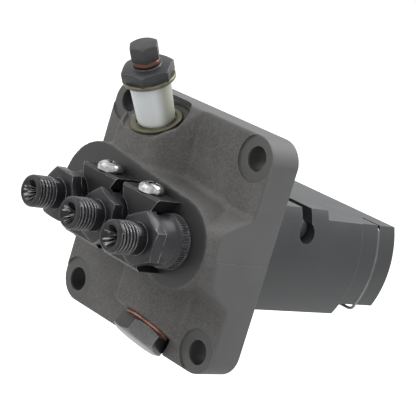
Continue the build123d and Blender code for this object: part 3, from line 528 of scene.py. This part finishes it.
# Painted shade darkens the cross recess of the screw heads.
bright_zinc = metal("bright zinc", (0.28, 0.28, 0.28), (0.62, 0.62, 0.62), (0.85, 0.85, 0.85),
                    0.95, 0.22, 900.0, 0.00004, speck=0.1, wear_radius=0.0002, wear=0.4,
                    stain_size=400.0, recess_shade=1.0)
ground_skin = metal("ground steel", (0.3, 0.3, 0.31), (0.46, 0.46, 0.47), (0.7, 0.7, 0.7),
                    0.9, 0.3, 2400.0, 0.00001, speck=0.04, wear_radius=0.0003, wear=0.4)
dark_steel = metal("dark hardened steel", (0.06, 0.06, 0.062), (0.11, 0.11, 0.112), (0.35, 0.35, 0.35),
                   0.6, 0.36, 2000.0, 0.00002, speck=0.08, wear_radius=0.0004, wear=0.7)
wire_skin = metal("spring wire", (0.05, 0.05, 0.05), (0.1, 0.1, 0.1), (0.3, 0.3, 0.3),
                  0.8, 0.28, 2000.0, 0.00001, speck=0.05, wear_radius=0.0002, wear=0.3)
bright_wire = metal("bright spring wire", (0.1, 0.1, 0.1), (0.2, 0.2, 0.2), (0.5, 0.5, 0.5),
                    0.9, 0.26, 2000.0, 0.00001, speck=0.05, wear_radius=0.0002, wear=0.3)
rubber_skin = metal("black rubber", (0.008, 0.008, 0.008), (0.015, 0.015, 0.015), (0.03, 0.03, 0.03),
                    0.0, 0.6, 1800.0, 0.00002, speck=0.1, wear_radius=0.0003, wear=0.2)
print("finishes:", len(bpy.data.materials))

# %% Painted shade and glints in the holders' mouths
def paint_mouth_shade_and_glints(material):
    """Painted shade inside the three outlet mouths, found by the distance from each axis: near-black, with
    painted glints of reflection on the lower left of each cone.
    """
    tree = material.node_tree
    shader = tree.nodes["Principled BSDF"]
    x, y, z = place_parts(tree)
    across = math_node(tree, "WRAP", x, pitch / 2 * mm, -pitch / 2 * mm)
    radius = math_node(tree, "SQRT", math_node(tree, "ADD", times(tree, across, across),
                                               times(tree, z, z)))
    mouth = times(tree, stretch(tree, radius, 0.0047, 0.0045), stretch(tree, y, -0.054, -0.055))
    skin = shader.inputs["Base Color"].links[0].from_socket
    turn = tree.nodes.new("ShaderNodeCombineXYZ")
    tree.links.new(math_node(tree, "ARCTAN2", z, across), turn.inputs[0])
    tree.links.new(times(tree, x, 100.0), turn.inputs[1])
    streak = stretch(tree, noise(tree, turn.outputs[0], 4.5, 1.0), 0.5, 0.62)
    lean = math_node(tree, "ADD", across, times(tree, z, 0.6))
    low_left = stretch(tree, math_node(tree, "DIVIDE", lean, radius), -0.45, -0.95)
    ring = times(tree, stretch(tree, radius, 0.0012, 0.002), stretch(tree, radius, 0.0042, 0.0036))
    # Painted reflection: light glints streak the lower left of each mouth's cone.
    glint = times(tree, times(tree, streak, low_left), ring)
    inside = blend(tree, glint, (0.003, 0.003, 0.003), (0.55, 0.55, 0.55))
    # Painted shade: the mouth is made near-black apart from the glints.
    tree.links.new(blend(tree, mouth, skin, inside), shader.inputs["Base Color"])
    gloss = shader.inputs["Roughness"].links[0].from_socket
    slick = math_node(tree, "SUBTRACT", gloss, times(tree, mouth, 0.2), clamp=True)
    tree.links.new(slick, shader.inputs["Roughness"])


paint_mouth_shade_and_glints(black_holder)


def paint_flat_shade(material, directions):
    """Painted shade: the flats that face these directions are made near-black and less metallic, so only the
    other flats keep the lighter tone of painted sheen.
    """
    tree = material.node_tree
    shader = tree.nodes["Principled BSDF"]
    surface = tree.nodes.new("ShaderNodeNewGeometry")
    flat_shade_mask = 0.0
    for direction in directions:
        toward = tree.nodes.new("ShaderNodeVectorMath")
        toward.operation = "DOT_PRODUCT"
        toward.inputs[1].default_value = direction
        tree.links.new(surface.outputs["Normal"], toward.inputs[0])
        flat = stretch(tree, toward.outputs["Value"], 0.93, 0.97)
        flat_shade_mask = math_node(tree, "MAXIMUM", flat, flat_shade_mask)
    flat_shade_mask = times(tree, flat_shade_mask, 0.93)
    skin = shader.inputs["Base Color"].links[0].from_socket
    tree.links.new(blend(tree, flat_shade_mask, skin, (0.01, 0.01, 0.011)), shader.inputs["Base Color"])
    dull = times(tree, inverse(tree, flat_shade_mask), 0.5)
    tree.links.new(dull, shader.inputs["Metallic"])


# Painted shade on two flats of the plug, which are made near-black.
paint_flat_shade(wear_and_sheen_hexagon, ((-0.2, -0.85, 0.49), (0.95, 0.27, -0.155)))

# %% [markdown]
# ## Blocks, slices and edges
# A casting is drawn from a few solid blocks. A cube is placed between two corners and planes
# slice it to its slopes. Edges to be rounded are picked by their place and then beveled.

# %% Helpers for blocks
def block(name, low, high):
    """Box between two corners in millimetres."""
    middle = [(a + b) / 2 * mm for a, b in zip(low, high)]
    size = [(b - a) * mm for a, b in zip(low, high)]
    bpy.ops.mesh.primitive_cube_add(size=1, location=middle, scale=size)
    return settle(added(name))


def slice_off(piece, point, normal):
    """Cut a piece by a plane and throw away the side that the normal points to."""
    place = [v * mm for v in point]
    in_edit(piece, lambda: bpy.ops.mesh.bisect(
        plane_co=place, plane_no=normal, use_fill=True, clear_outer=True, threshold=1e-7))


def pick(piece, kind, test):
    """Enter edit mode with only the edges or faces whose middle and direction pass a test."""
    only(piece)
    bpy.ops.object.mode_set(mode="EDIT")
    bpy.ops.mesh.select_mode(type=kind)
    bpy.ops.mesh.select_all(action="DESELECT")
    bpy.ops.object.mode_set(mode="OBJECT")
    mesh = piece.data
    count = 0
    if kind == "EDGE":
        for edge in mesh.edges:
            a, b = (mesh.vertices[i].co for i in edge.vertices)
            edge.select = bool(test((a + b) / 2 / mm, (b - a).normalized()))
            count += edge.select
    else:
        for face in mesh.polygons:
            face.select = bool(test(face.center / mm, face.normal))
            count += face.select
    bpy.ops.object.mode_set(mode="EDIT")
    return count


def round_edges(piece, radius, test, segments):
    """Round the edges that pass a test."""
    pick(piece, "EDGE", test)
    bpy.ops.mesh.bevel(offset=radius * mm, segments=segments, profile=0.5, affect="EDGES")
    bpy.ops.object.mode_set(mode="OBJECT")


# %% [markdown]
# ## The casting in front
# The flange, the boss under the three holders, the wedge block on the right and the two gallery pads
# are one iron casting, and all their inner corners are soft. Blocks that overlap are joined, a voxel
# remesh melts them into one skin, and a smooth modifier rounds it as sand rounds a casting.

# %% Flange plate
flange = block("flange", (-half, -flange_depth, -half), (half, spare, half))
round_edges(flange, 10.0, lambda middle, along: abs(along.y) > 0.9, 12)
round_edges(flange, 1.0, lambda middle, along: middle.y < 0.1 - flange_depth, 3)
print("flange faces:", len(flange.data.polygons))

# %% Boss under the holders
boss = block("boss", (boss_left[0], boss_front, -25), (boss_right[0], -5, 25))
slice_off(boss, (-pitch, boss_front, 21.9), (0.1, -0.03, 1))
slice_off(boss, (-pitch, boss_front, -15.4), (0.03, -0.03, -1))
for x, z, radius in (boss_left, boss_right):
    profile = [(radius + draft, 5), (radius + draft, flange_depth), (radius, -boss_front)]
    drum = turned("boss end", profile, 128)
    stand(drum, (x, 0, z), to_right, to_front)
    carve(boss, drum, "UNION")
print("boss faces:", len(boss.data.polygons))

# %% Wedge block on the right
wedge = block("wedge block", (0, -29, -20), (half, -5, 18.5))
slice_off(wedge, (0, -14.3, 17.0), (0, -0.433, 0.901))
slice_off(wedge, (0, -27.9, 6), (0, -0.985, -0.17))
slice_off(wedge, (0, -24, -11.5), (0, -0.578, -0.816))
round_edges(wedge, 3.0, lambda middle, along: abs(along.x) > 0.9 and middle.y < -20, 5)
print("wedge block faces:", len(wedge.data.polygons))

# %% Gallery pads
inlet_pad = block("inlet pad", (-24.85, -28.5, 5), (14, -8, 45.8))
slice_off(inlet_pad, (0, -28.9, 30.2), (0, -math.sin(math.radians(49)), math.cos(math.radians(49))))
slice_off(inlet_pad, (-1, -28.5, 0), (0.884, -0.467, 0))
round_edges(inlet_pad, 3.0, lambda middle, along: abs(along.z) > 0.9 and middle.y < -20, 5)
plug_pad = block("plug pad", (1.35, -28.5, -52), (27.95, -8, -5))
slice_off(plug_pad, plug_seat, plug_out)
slice_off(plug_pad, (18.35, -28.5, 0), (0.8593, -0.5115, 0))
round_edges(plug_pad, 2.5, lambda middle, along: abs(along.z) > 0.9 and middle.y < -20, 5)
print("pad faces:", len(inlet_pad.data.polygons), len(plug_pad.data.polygons))

# %% Melt the blocks into one skin
casting = merge([flange, boss, wedge, inlet_pad, plug_pad], "casting")
crisp = twin(casting)
fillet = 1.8 * mm
sunk = 0.3 * mm
coarse_voxel = 0.8 * mm
fine_voxel = 0.6 * mm
modify(casting, "REMESH", mode="VOXEL", voxel_size=coarse_voxel)
modify(casting, "DISPLACE", strength=fillet, mid_level=0)
modify(casting, "REMESH", mode="VOXEL", voxel_size=coarse_voxel)
modify(casting, "DISPLACE", strength=-fillet - sunk, mid_level=0)
casting = merge([casting, crisp], "casting")
modify(casting, "REMESH", mode="VOXEL", voxel_size=fine_voxel)
modify(casting, "SMOOTH", factor=0.5, iterations=3)
slice_off(casting, (0, 0, 0), (0, 1, 0))

# %% [markdown]
# The two halves of the sand mould never meet quite evenly. The upper half of each side is therefore
# cut back by a fifth of a millimetre, which leaves the fine ledge of a parting line.

# %% Parting line on the sides
inset = half - mould_shift
for low, high in (((-50, -40, 0), (-inset, 5, 50)), ((inset, -40, 0), (50, 5, 50))):
    carve(casting, block("mould shift", low, high))
print("casting skin:", len(casting.data.polygons), "faces")

# %% [markdown]
# ## Machined faces of the casting
# A milling cutter leaves flat round spot faces in the rough skin, and drills leave the holes. Each
# cutter here is one stepped turned solid, as wide as the spot face in front and as wide as the drill
# behind. None of them touch, so they are joined and cut in one go.

# %% Cutters
cutters = []
for x in (-bolt_at, bolt_at):
    for z in (-bolt_at, bolt_at):
        drill = turned("spot cutter", [(4.7, -1), (4.7, spot_depth), (8.9, spot_depth), (8.9, 40)])
        cutters.append(stand(drill, (x, 0, z), to_right, to_front))
for x in (-pitch, 0, pitch):
    bore = turned("holder bore", [(6.65, -1), (6.65, 1), (8.4, 1), (8.4, 12.2), (9.0, 12.2), (9.0, 40)])
    cutters.append(stand(bore, (x, 0, 0), to_right, to_front))
inlet_cutter = turned("inlet cutter", [(6.0, -14), (6.0, 0), (13.0, 0), (13.0, 33)])
for shift in (-2.2, 1.8):
    relief = turned("inlet relief", [(13.0, 2), (13.0, 33)])
    in_edit(relief, lambda: bpy.ops.transform.translate(value=(shift * mm, 0, 0)))
    carve(inlet_cutter, relief, "UNION")
cutters.append(stand(inlet_cutter, inlet_seat, to_right, inlet_out))
plug_cutter = turned("plug cutter", [(7.0, -14), (7.0, 0), (11.3, 0), (11.3, 33)])
cutters.append(stand(plug_cutter, plug_seat, to_right, plug_out))
carve(casting, merge(cutters, "cutters"))
flats = pick(casting, "FACE", lambda middle, normal: (
    abs(normal.x) > 0.9995 and abs(middle.x) > inset - 0.05 and middle.z > 0))
bpy.ops.mesh.region_to_loop()
bpy.ops.mesh.mark_sharp()
bpy.ops.object.mode_set(mode="OBJECT")
print("faces on the cut-back sides:", flats)
finish(casting, "housing", cast_skin, 40, ["pump_body"])
modify(casting, "WEIGHTED_NORMAL", weight=80, keep_sharp=True)

# %% [markdown]
# ## The machined body behind the flange
# The rear of the housing is a round bar with two steps of flats, turned and milled to fit the engine.
# It is one turned bar: planes slice the long flats, blocks mill the steps, stepped cutters drill it.

# %% Turned bar with stepped flats
rear_body = turned("rear_body", [(41.0, 0.0), (41.0, 55.3), (40.3, 55.3), (40.3, 75.8)], 192)
stand(rear_body, (0, 0, 0), to_right, to_back)
slice_off(rear_body, (0, 0, -20.4), (0, 0, -1))
slice_off(rear_body, (0, 0, 21.2), (0, 0, 1))
upper_step = block("upper step", (-50, 35.2, 17.8), (50, 80, 30))
lower_step = block("lower step", (-50, 55.3, -30), (50, 80, -15.6))
carve(rear_body, merge([upper_step, lower_step], "steps"))
print("bar with its flats:", len(rear_body.data.polygons), "faces")

# %% Bores, slot and grooves
bores = []
for x in (-pitch, 0, pitch):
    bore = turned("bore", [(6.65, -1), (6.65, 10), (10.5, 10), (10.5, 27.5), (11.15, 27.5), (11.15, 77)])
    bores.append(stand(bore, (x, 0, 0), to_right, to_back))
carve(rear_body, merge(bores, "bores"))
rack_bore = turned("rack bore", [(4.3, -45), (4.3, 45)], 64)
carve(rear_body, stand(rack_bore, (0, rack_y, rack_z), to_back, to_right))
carve(rear_body, block("rack slot", (-45, rack_y - 2.7, rack_z), (45, rack_y + 2.7, 25)))
for x in (-pitch, 0, pitch):
    hole = turned("pin hole", [(2.5, -17), (2.5, 0)], 48)
    carve(rear_body, stand(hole, (x, wire_y, 0), to_right, to_top))
groove = turned("wire groove", [(45, groove_start), (45, groove_end)], 192)
groove_core = turned("groove core", [(39.1, 60), (39.1, 70)], 192)
carve(groove, groove_core)
carve(rear_body, stand(groove, (0, 0, 0), to_right, to_back))
for side in (-1, 1):
    low = (side * 33.5 - 6.4, groove_start, 15.2)
    high = (side * 33.5 + 6.4, groove_end, 20)
    carve(rear_body, block("top slot", low, high))
    hole = turned("hook hole", [(0.85, 11), (0.85, 20)], 24)
    carve(rear_body, stand(hole, (side * 28, wire_y, 0), to_right, to_top))
finish(rear_body, "housing", machined_skin, 30, ["pump_body"])

# %% [markdown]
# ## Delivery valve holders
# Each holder is a turned steel part: a hexagon, a collar with fine serrations that the lock plates
# grip, and an outlet stub with a thread and a cone for the pipe. One is modelled upright and copied.
# The thread is cut with a screw: a triangle is swept round by the Screw modifier and taken away.

# %% One holder
def screw_cutter(name, radius, depth, thread_pitch, turns, start):
    """Closed coil with a triangular section, whose point cuts a thread to a depth."""
    bpy.ops.mesh.primitive_circle_add(vertices=3, radius=thread_pitch * 0.56 * mm, fill_type="NOTHING")
    coil = added(name)
    coil.rotation_euler = (math.radians(90), 0, 0)
    settle(coil)
    bpy.ops.object.mode_set(mode="EDIT")
    bpy.ops.mesh.select_all(action="SELECT")
    bpy.ops.transform.rotate(value=math.radians(90), orient_axis="Y", center_override=(0, 0, 0))
    bpy.ops.object.mode_set(mode="OBJECT")
    reach = min(v.co.x for v in coil.data.vertices)
    shift = (radius - depth) * mm - reach
    in_edit(coil, lambda: bpy.ops.transform.translate(value=(shift, 0, start * mm)))
    modify(coil, "SCREW", axis="Z", angle=math.radians(360), screw_offset=thread_pitch * mm,
           iterations=turns, steps=48, render_steps=48, use_merge_vertices=True, merge_threshold=1e-7)
    return in_edit(coil, lambda: bpy.ops.mesh.fill_holes(sides=0), outward)


def serrate(piece, radius, low, high, count, size):
    """Cut fine grooves round a collar with square needles, copied by the spin operator."""
    bpy.ops.mesh.primitive_cylinder_add(
        vertices=4, radius=size * mm, depth=(high - low) * mm,
        location=(radius * mm, 0, (high + low) / 2 * mm)
    )
    needles = settle(added("serration needles"))
    bpy.ops.object.mode_set(mode="EDIT")
    bpy.ops.mesh.select_all(action="SELECT")
    bpy.ops.mesh.spin(steps=count, dupli=True, angle=math.radians(360), center=(0, 0, 0), axis=(0, 0, 1))
    bpy.ops.mesh.select_all(action="SELECT")
    bpy.ops.mesh.remove_doubles(threshold=1e-6)
    outward()
    bpy.ops.object.mode_set(mode="OBJECT")
    carve(piece, needles)


holder = turned("valve_holder", [
    (8.4, 17.2), (8.95, 17.8), (8.95, 30.3), (10.2, 30.3), (10.2, 34.4), (10.05, 35.0), (9.7, 35.6),
    (9.2, 35.9), (9.15, 42.4), (5.85, 42.4), (5.85, 50.8), (6.1, 51.3), (6.1, 58.3), (5.9, 59.0),
    (5.2, 59.7), (4.3, 59.7), (3.9, 59.3), (1.0, 54.33), (1.0, 38.0), (5.0, 38.0), (5.0, 22.0), (6.2, 22.0),
    (6.2, 17.2)])
print("holder has", len(holder.data.vertices), "vertices")
nut = hexagon("holder hexagon", 18.3, 4.9, 0, base=42.1, round_base=False)
nut_bore = turned("nut bore", [(5.8, 30), (5.8, 50)], 64)
carve(nut, nut_bore)
carve(holder, nut, "UNION")
break_edges(holder, 0.12, 1, 28)
serrate(holder, 10.2, 30.9, 34.0, 60, 0.42)
carve(holder, screw_cutter("outlet thread", 6.1, 0.9, 1.5, 5, 50.9))
clean(holder)

# %% Three holders
holder_turns = (58.0, 42.0, 28.5)
for number, turn in enumerate(holder_turns, start=1):
    piece = holder if number == 3 else twin(holder)
    piece.name = f"valve_holder_dressed_{number}"
    angle = math.radians(turn)
    x_dir = (math.cos(angle), 0, math.sin(angle))
    stand(piece, ((number - 2) * pitch, 0, 0), x_dir, to_front)
    finish(piece, "housing", black_holder, 32, [f"valve_holder_{number}"])

# %% [markdown]
# ## Lock screws
# Two bright pan-head screws draw the lock plates together. The head is turned, and its cross recess
# is pressed in, so two tapered blades are taken out of the dome.

# %% Pan heads with a cross recess
screw = turned("lock_screw", [
    (1.6, -24.3), (2.0, -23.6), (2.0, 0.0), (4.9, 0.0), (4.95, 1.1), (4.75, 1.9), (4.2, 2.7),
    (3.2, 3.3), (2.0, 3.6), (0.9, 3.7)], 64)
blades = []
for angle in (0, 90):
    blade = block("blade", (-3.3, -0.75, 1.2), (3.3, 0.75, 4.5))
    pick(blade, "FACE", lambda middle, normal: normal.z < -0.9)
    bpy.ops.transform.resize(value=(0.45, 0.7, 1), center_override=(0, 0, 0.001))
    bpy.ops.object.mode_set(mode="OBJECT")
    blade.rotation_euler = (0, 0, math.radians(angle))
    blades.append(settle(blade))
for blade in blades:
    carve(screw, blade)
break_edges(screw, 0.1, 1, 35)
for number, turn in ((1, 38.0), (2, 12.0)):
    piece = screw if number == 2 else twin(screw)
    piece.name = f"lock_screw_{number}"
    angle = math.radians(turn)
    stand(piece, ((number - 1.5) * pitch, -35.4, 14.3), (math.cos(angle), math.sin(angle), 0), (0, 0, 1))
    finish(piece, "housing", bright_zinc, 35, ["lock_screws"])

# %% [markdown]
# ## Fuel inlet
# The hollow screw, the bleed screw on top of it and the gallery plug are hexagons with corners turned
# down. Each sits on its seal washer, tilted forward, and only its head and its shank are modelled.

# %% Hollow screw, bleed screw and plug
hollow = turned("inlet_screw", [
    (5.95, -12), (5.95, 21.0), (5.5, 21.0), (5.5, 24.4), (5.3, 24.6), (2.9, 24.6),
    (2.9, 16.6), (3.2, 16.6), (3.2, -12)])
hollow_head = hexagon("hollow head", 18.0, 4.5, 9.0, base=19.6, round_base=False)
carve(hollow_head, turned("head bore", [(4.0, 10), (4.0, 30)], 64))
carve(hollow, hollow_head, "UNION")
break_edges(hollow, 0.15, 2, 30)
stand(hollow, inlet_seat, to_right, inlet_out)
finish(hollow, "housing", black_hexagon, 30, ["inlet_hollow_screw"])

bleeder = hexagon("bleeder", 10.2, 5.85, 20.0, base=27.0, round_base=False)
carve(bleeder, turned("bleeder shank", [(2.85, 18.6), (2.85, 28)], 64), "UNION")
break_edges(bleeder, 0.15, 2, 30)
stand(bleeder, inlet_seat, to_right, inlet_out)
finish(bleeder, "housing", black_hexagon, 30, ["bleed_screw"])

seal = turned("bleed_seal", [
    (3.0, 24.7), (4.9, 24.7), (5.25, 25.1), (5.3, 25.8), (5.1, 26.4), (4.7, 26.9), (3.0, 26.9), (3.0, 24.7)])
stand(seal, inlet_seat, to_right, inlet_out)
finish(seal, "housing", copper_skin, 30, ["bleed_washer"])

plug = hexagon("plug", 19.0, 6.55, 12.0, base=1.3)
carve(plug, turned("plug shank", [(6.9, -9), (6.9, 2)], 64), "UNION")
break_edges(plug, 0.18, 2, 30)
stand(plug, plug_seat, to_right, plug_out)
finish(plug, "housing", wear_and_sheen_hexagon, 30, ["gallery_plug"])

# %% [markdown]
# ## Springs
# A coil spring is a round wire wound on a mandrel with its ends ground flat. The Screw modifier winds
# it from a circle.

# %% Coil springs
def coil_spring(name, origin, mean_radius, wire, length, turns):
    """Spring along +Y from an origin, between two flat seats."""
    gap = 0.05
    rise = (length - 2 * wire - 2 * gap) / turns
    bpy.ops.mesh.primitive_circle_add(
        vertices=10, radius=wire * mm, fill_type="NOTHING",
        location=(mean_radius * mm, 0, (wire + gap) * mm), rotation=(math.radians(90), 0, 0)
    )
    coil = settle(added(name))
    modify(coil, "SCREW", axis="Z", angle=math.radians(360), screw_offset=rise * mm,
           iterations=turns, steps=32, render_steps=32, use_merge_vertices=True, merge_threshold=1e-7)
    in_edit(coil, lambda: bpy.ops.mesh.fill_holes(sides=0), outward)
    return stand(coil, origin, to_right, to_back)


for number, x in enumerate((-pitch, 0, pitch), start=1):
    coil = coil_spring(f"tappet_coil_{number}", (x, 29.5, 0), 8.7, 1.0, 22.5, 5)
    finish(coil, "housing", wire_skin, 40, [f"plunger_spring_{number}"])
    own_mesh(coil)
    coil = coil_spring(f"valve_coil_{number}", (x, -38.0, 0), 3.1, 0.5, 14.53, 5)
    finish(coil, "housing", wire_skin, 40, [f"delivery_valve_spring_{number}"])
    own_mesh(coil)

# %% [markdown]
# ## Retaining wire
# One bent spring wire keeps the roller tappets in. Its run is drawn as a line of points, the bends
# are made by beveling the corner points, and a round section is then laid round the line.

# %% Wire
wire_run = [(28, 12.5), (28, 16.1), (36.6, 16.1)]
wire_run += [(40.0 * math.cos(math.radians(a)), 40.0 * math.sin(math.radians(a))) for a in range(20, -23, -3)]
wire_run += [(36.4, -17.3), (34.6, -18.0)]
wire_run += [(-x, z) for x, z in reversed(wire_run)]
x, z = wire_run[0]
bpy.ops.mesh.primitive_plane_add(size=mm, location=(x * mm, wire_y * mm, z * mm))
wire = settle(added("wire"))
bpy.ops.object.mode_set(mode="EDIT")
bpy.ops.mesh.select_mode(type="VERT")
bpy.ops.mesh.select_all(action="SELECT")
bpy.ops.mesh.merge(type="CENTER")
for next_x, next_z in wire_run[1:]:
    step = ((next_x - x) * mm, 0, (next_z - z) * mm)
    bpy.ops.mesh.extrude_region_move(TRANSFORM_OT_translate={"value": step})
    x, z = next_x, next_z
bpy.ops.mesh.select_all(action="SELECT")
bpy.ops.mesh.bevel(offset=0.9 * mm, segments=4, affect="VERTICES")
bpy.ops.object.mode_set(mode="OBJECT")
bpy.ops.object.convert(target="CURVE")
wire.data.bevel_depth = 0.62 * mm
wire.data.bevel_resolution = 3
wire.data.use_fill_caps = True
bpy.ops.object.convert(target="MESH")
finish(wire, "housing", bright_wire, 40, ["retaining_wire"])

# %% [markdown]
# ## Milky sleeve
# The white sleeve between the washers is a soft plastic that lets some light in. Its finish mixes a
# bluish milk tone with a darker olive tone that grows towards one side, and scatters light under its skin.

# %% Sleeve finish
def milky(name):
    """Translucent nylon, darker olive towards one side."""
    material, tree, shader = new_material(name)
    shader.inputs["Roughness"].default_value = 0.5
    shader.inputs["Subsurface Weight"].default_value = 0.35
    shader.inputs["Subsurface Radius"].default_value = (1.0, 1.0, 1.0)
    shader.inputs["Subsurface Scale"].default_value = 0.002
    stain = placed(tree, "stain", scale=55.0).outputs["Mask"]
    grain = placed(tree, "grain", scale=900.0)
    place = tree.nodes.new("ShaderNodeTexCoord")
    across = tree.nodes.new("ShaderNodeVectorMath")
    across.operation = "DOT_PRODUCT"
    across.inputs[1].default_value = (0.7, 0.7, 0.4375)
    tree.links.new(place.outputs["Object"], across.inputs[0])
    right = stretch(tree, across.outputs["Value"], -0.0058, -0.0008)
    base = blend(tree, stain, (0.86, 0.92, 0.93), (0.95, 0.98, 0.98))
    base = blend(tree, times(tree, right, 0.9), base, (0.3, 0.3, 0.24))
    tree.links.new(base, shader.inputs["Base Color"])
    roughen(tree, shader, grain.outputs["Height"], 0.00003, 1.0)
    return material


milk_sleeve = milky("milky nylon")
sleeve = turned("milky_sleeve", [
    (6.2, 0.55), (6.7, 0.65), (7.1, 1.2), (7.3, 2.6), (7.5, 8.0), (7.85, 16.0), (7.95, 17.95),
    (6.5, 17.95), (6.2, 0.55)])
stand(sleeve, inlet_seat, to_right, inlet_out)
finish(sleeve, "housing", milk_sleeve, 40, ["inlet_spacer"])
dish = turned("dished_washer", [
    (6.3, 0.02), (9.9, 0.02), (10.2, 0.4), (10.25, 1.0), (10.0, 1.4), (9.5, 1.6), (8.4, 1.6), (7.8, 1.3),
    (7.6, 0.5), (6.3, 0.5), (6.3, 0.02)])
stand(dish, inlet_seat, to_right, inlet_out)
finish(dish, "housing", zinc_plate, 40, ["inlet_washer_lower"])

# %% [markdown]
# ## Finishes of the parts that stay
# Shapes that are right already keep their engineering mesh and get only a finish, by slot.

# %% Finish by slot
finish_of = {
    "plate_black_steel": black_plate, "zinc_washer": zinc_plate, "copper_washer": copper_skin,
    "white_spacer": milk_sleeve, "spring_wire": wire_skin, "guide_pin_steel": dark_steel,
    "rack_steel": dark_steel, "seal_rubber": rubber_skin, "gasket_aluminium": ground_skin,
    "ground_steel": ground_skin, "sleeve_steel": dark_steel, "tappet_steel": dark_steel,
    "coil_spring_steel": wire_skin, "body_cast_iron": cast_skin, "holder_black_steel": black_holder,
    "inlet_black_steel": black_hexagon, "bleed_black_steel": black_hexagon,
    "plug_black_steel": wear_and_sheen_hexagon, "bright_screw": bright_zinc,
}
for entry in frame["record"]["subparts"]:
    node = frame["nodes"][entry["node"]]
    for place in node.material_slots:
        place.material = finish_of[entry["material_slot"]]
for place in frame["nodes"]["gallery_plug_washer"].material_slots:
    place.material = bright_copper
print("finished nodes:", len(frame["nodes"]))

# %% [markdown]
# ## Floor, light and camera
# The pump is shown on white. The floor is pale and far below, so that only a soft shadow falls on it.
# A broad softbox above and behind draws the light tops, and a weaker one at the front left fills in.

# %% Floor
bpy.ops.mesh.primitive_plane_add(size=6, location=(0, 0, -0.16))
floor = settle(added("floor"))
paper, paper_tree, paper_shader = new_material("white paper")
paper_shader.inputs["Base Color"].default_value = (0.45, 0.45, 0.45, 1)
paper_shader.inputs["Roughness"].default_value = 0.9
rays = paper_tree.nodes.new("ShaderNodeLightPath")
in_gloss = times(paper_tree, rays.outputs["Is Glossy Ray"], 0.65)
seen = math_node(paper_tree, "MAXIMUM", rays.outputs["Is Camera Ray"], in_gloss)
seen = math_node(paper_tree, "MAXIMUM", seen, rays.outputs["Is Transmission Ray"])
paper_tree.links.new(times(paper_tree, seen, 0.85), paper_shader.inputs["Emission Strength"])
paper_shader.inputs["Emission Color"].default_value = (1, 1, 1, 1)
floor.data.materials.append(paper)

# %% World
world = bpy.data.worlds.new("studio")
bpy.context.scene.world = world
world.use_nodes = True
sky = world.node_tree
rays = sky.nodes.new("ShaderNodeLightPath")
seen = math_node(sky, "MAXIMUM", rays.outputs["Is Camera Ray"], rays.outputs["Is Transmission Ray"])
seen = math_node(sky, "MAXIMUM", seen, rays.outputs["Is Glossy Ray"])
level = sky.nodes.new("ShaderNodeMapRange")
sky.links.new(seen, level.inputs["Value"])
level.inputs["To Min"].default_value = 0.86
level.inputs["To Max"].default_value = 1.0
background = sky.nodes["Background"]
background.inputs["Color"].default_value = (1, 1, 1, 1)
sky.links.new(level.outputs["Result"], background.inputs["Strength"])

# %% Lamps
def softbox(name, place, target, size, power):
    """Square area lamp at a place, pointed at a target, all in metres."""
    bpy.ops.object.light_add(type="AREA", location=place)
    lamp = bpy.context.object
    lamp.name = name
    lamp.data.size = size
    lamp.data.energy = power
    lamp.rotation_euler = (Vector(place) - Vector(target)).to_track_quat("Z", "Y").to_euler()


softbox("softbox above", (0.1, 0.5, 0.65), (0, 0.02, 0), 0.6, 6.5)
softbox("softbox left", (-0.35, -0.6, 0.6), (0, 0, 0), 0.8, 2.2)
print("lamps:", len(bpy.data.lights))

# %% [markdown]
# The camera was fitted to points of the photograph, such as bolt holes, holders and the round rear
# end. It stands to the right of the front, a little above, and is rolled as the photograph is.

# %% Camera
bpy.ops.object.camera_add(
    location=(0.42489401, -0.41912128, 0.11993878), rotation=(1.37805356, -0.28950051, 0.83886831)
)
camera = bpy.context.object
camera.data.lens = 136.87427
camera.data.sensor_width = 36
camera.data.clip_start = 0.01
bpy.context.scene.camera = camera
bpy.context.scene.view_settings.view_transform = "Standard"
print("camera lens:", round(camera.data.lens, 1), "mm")
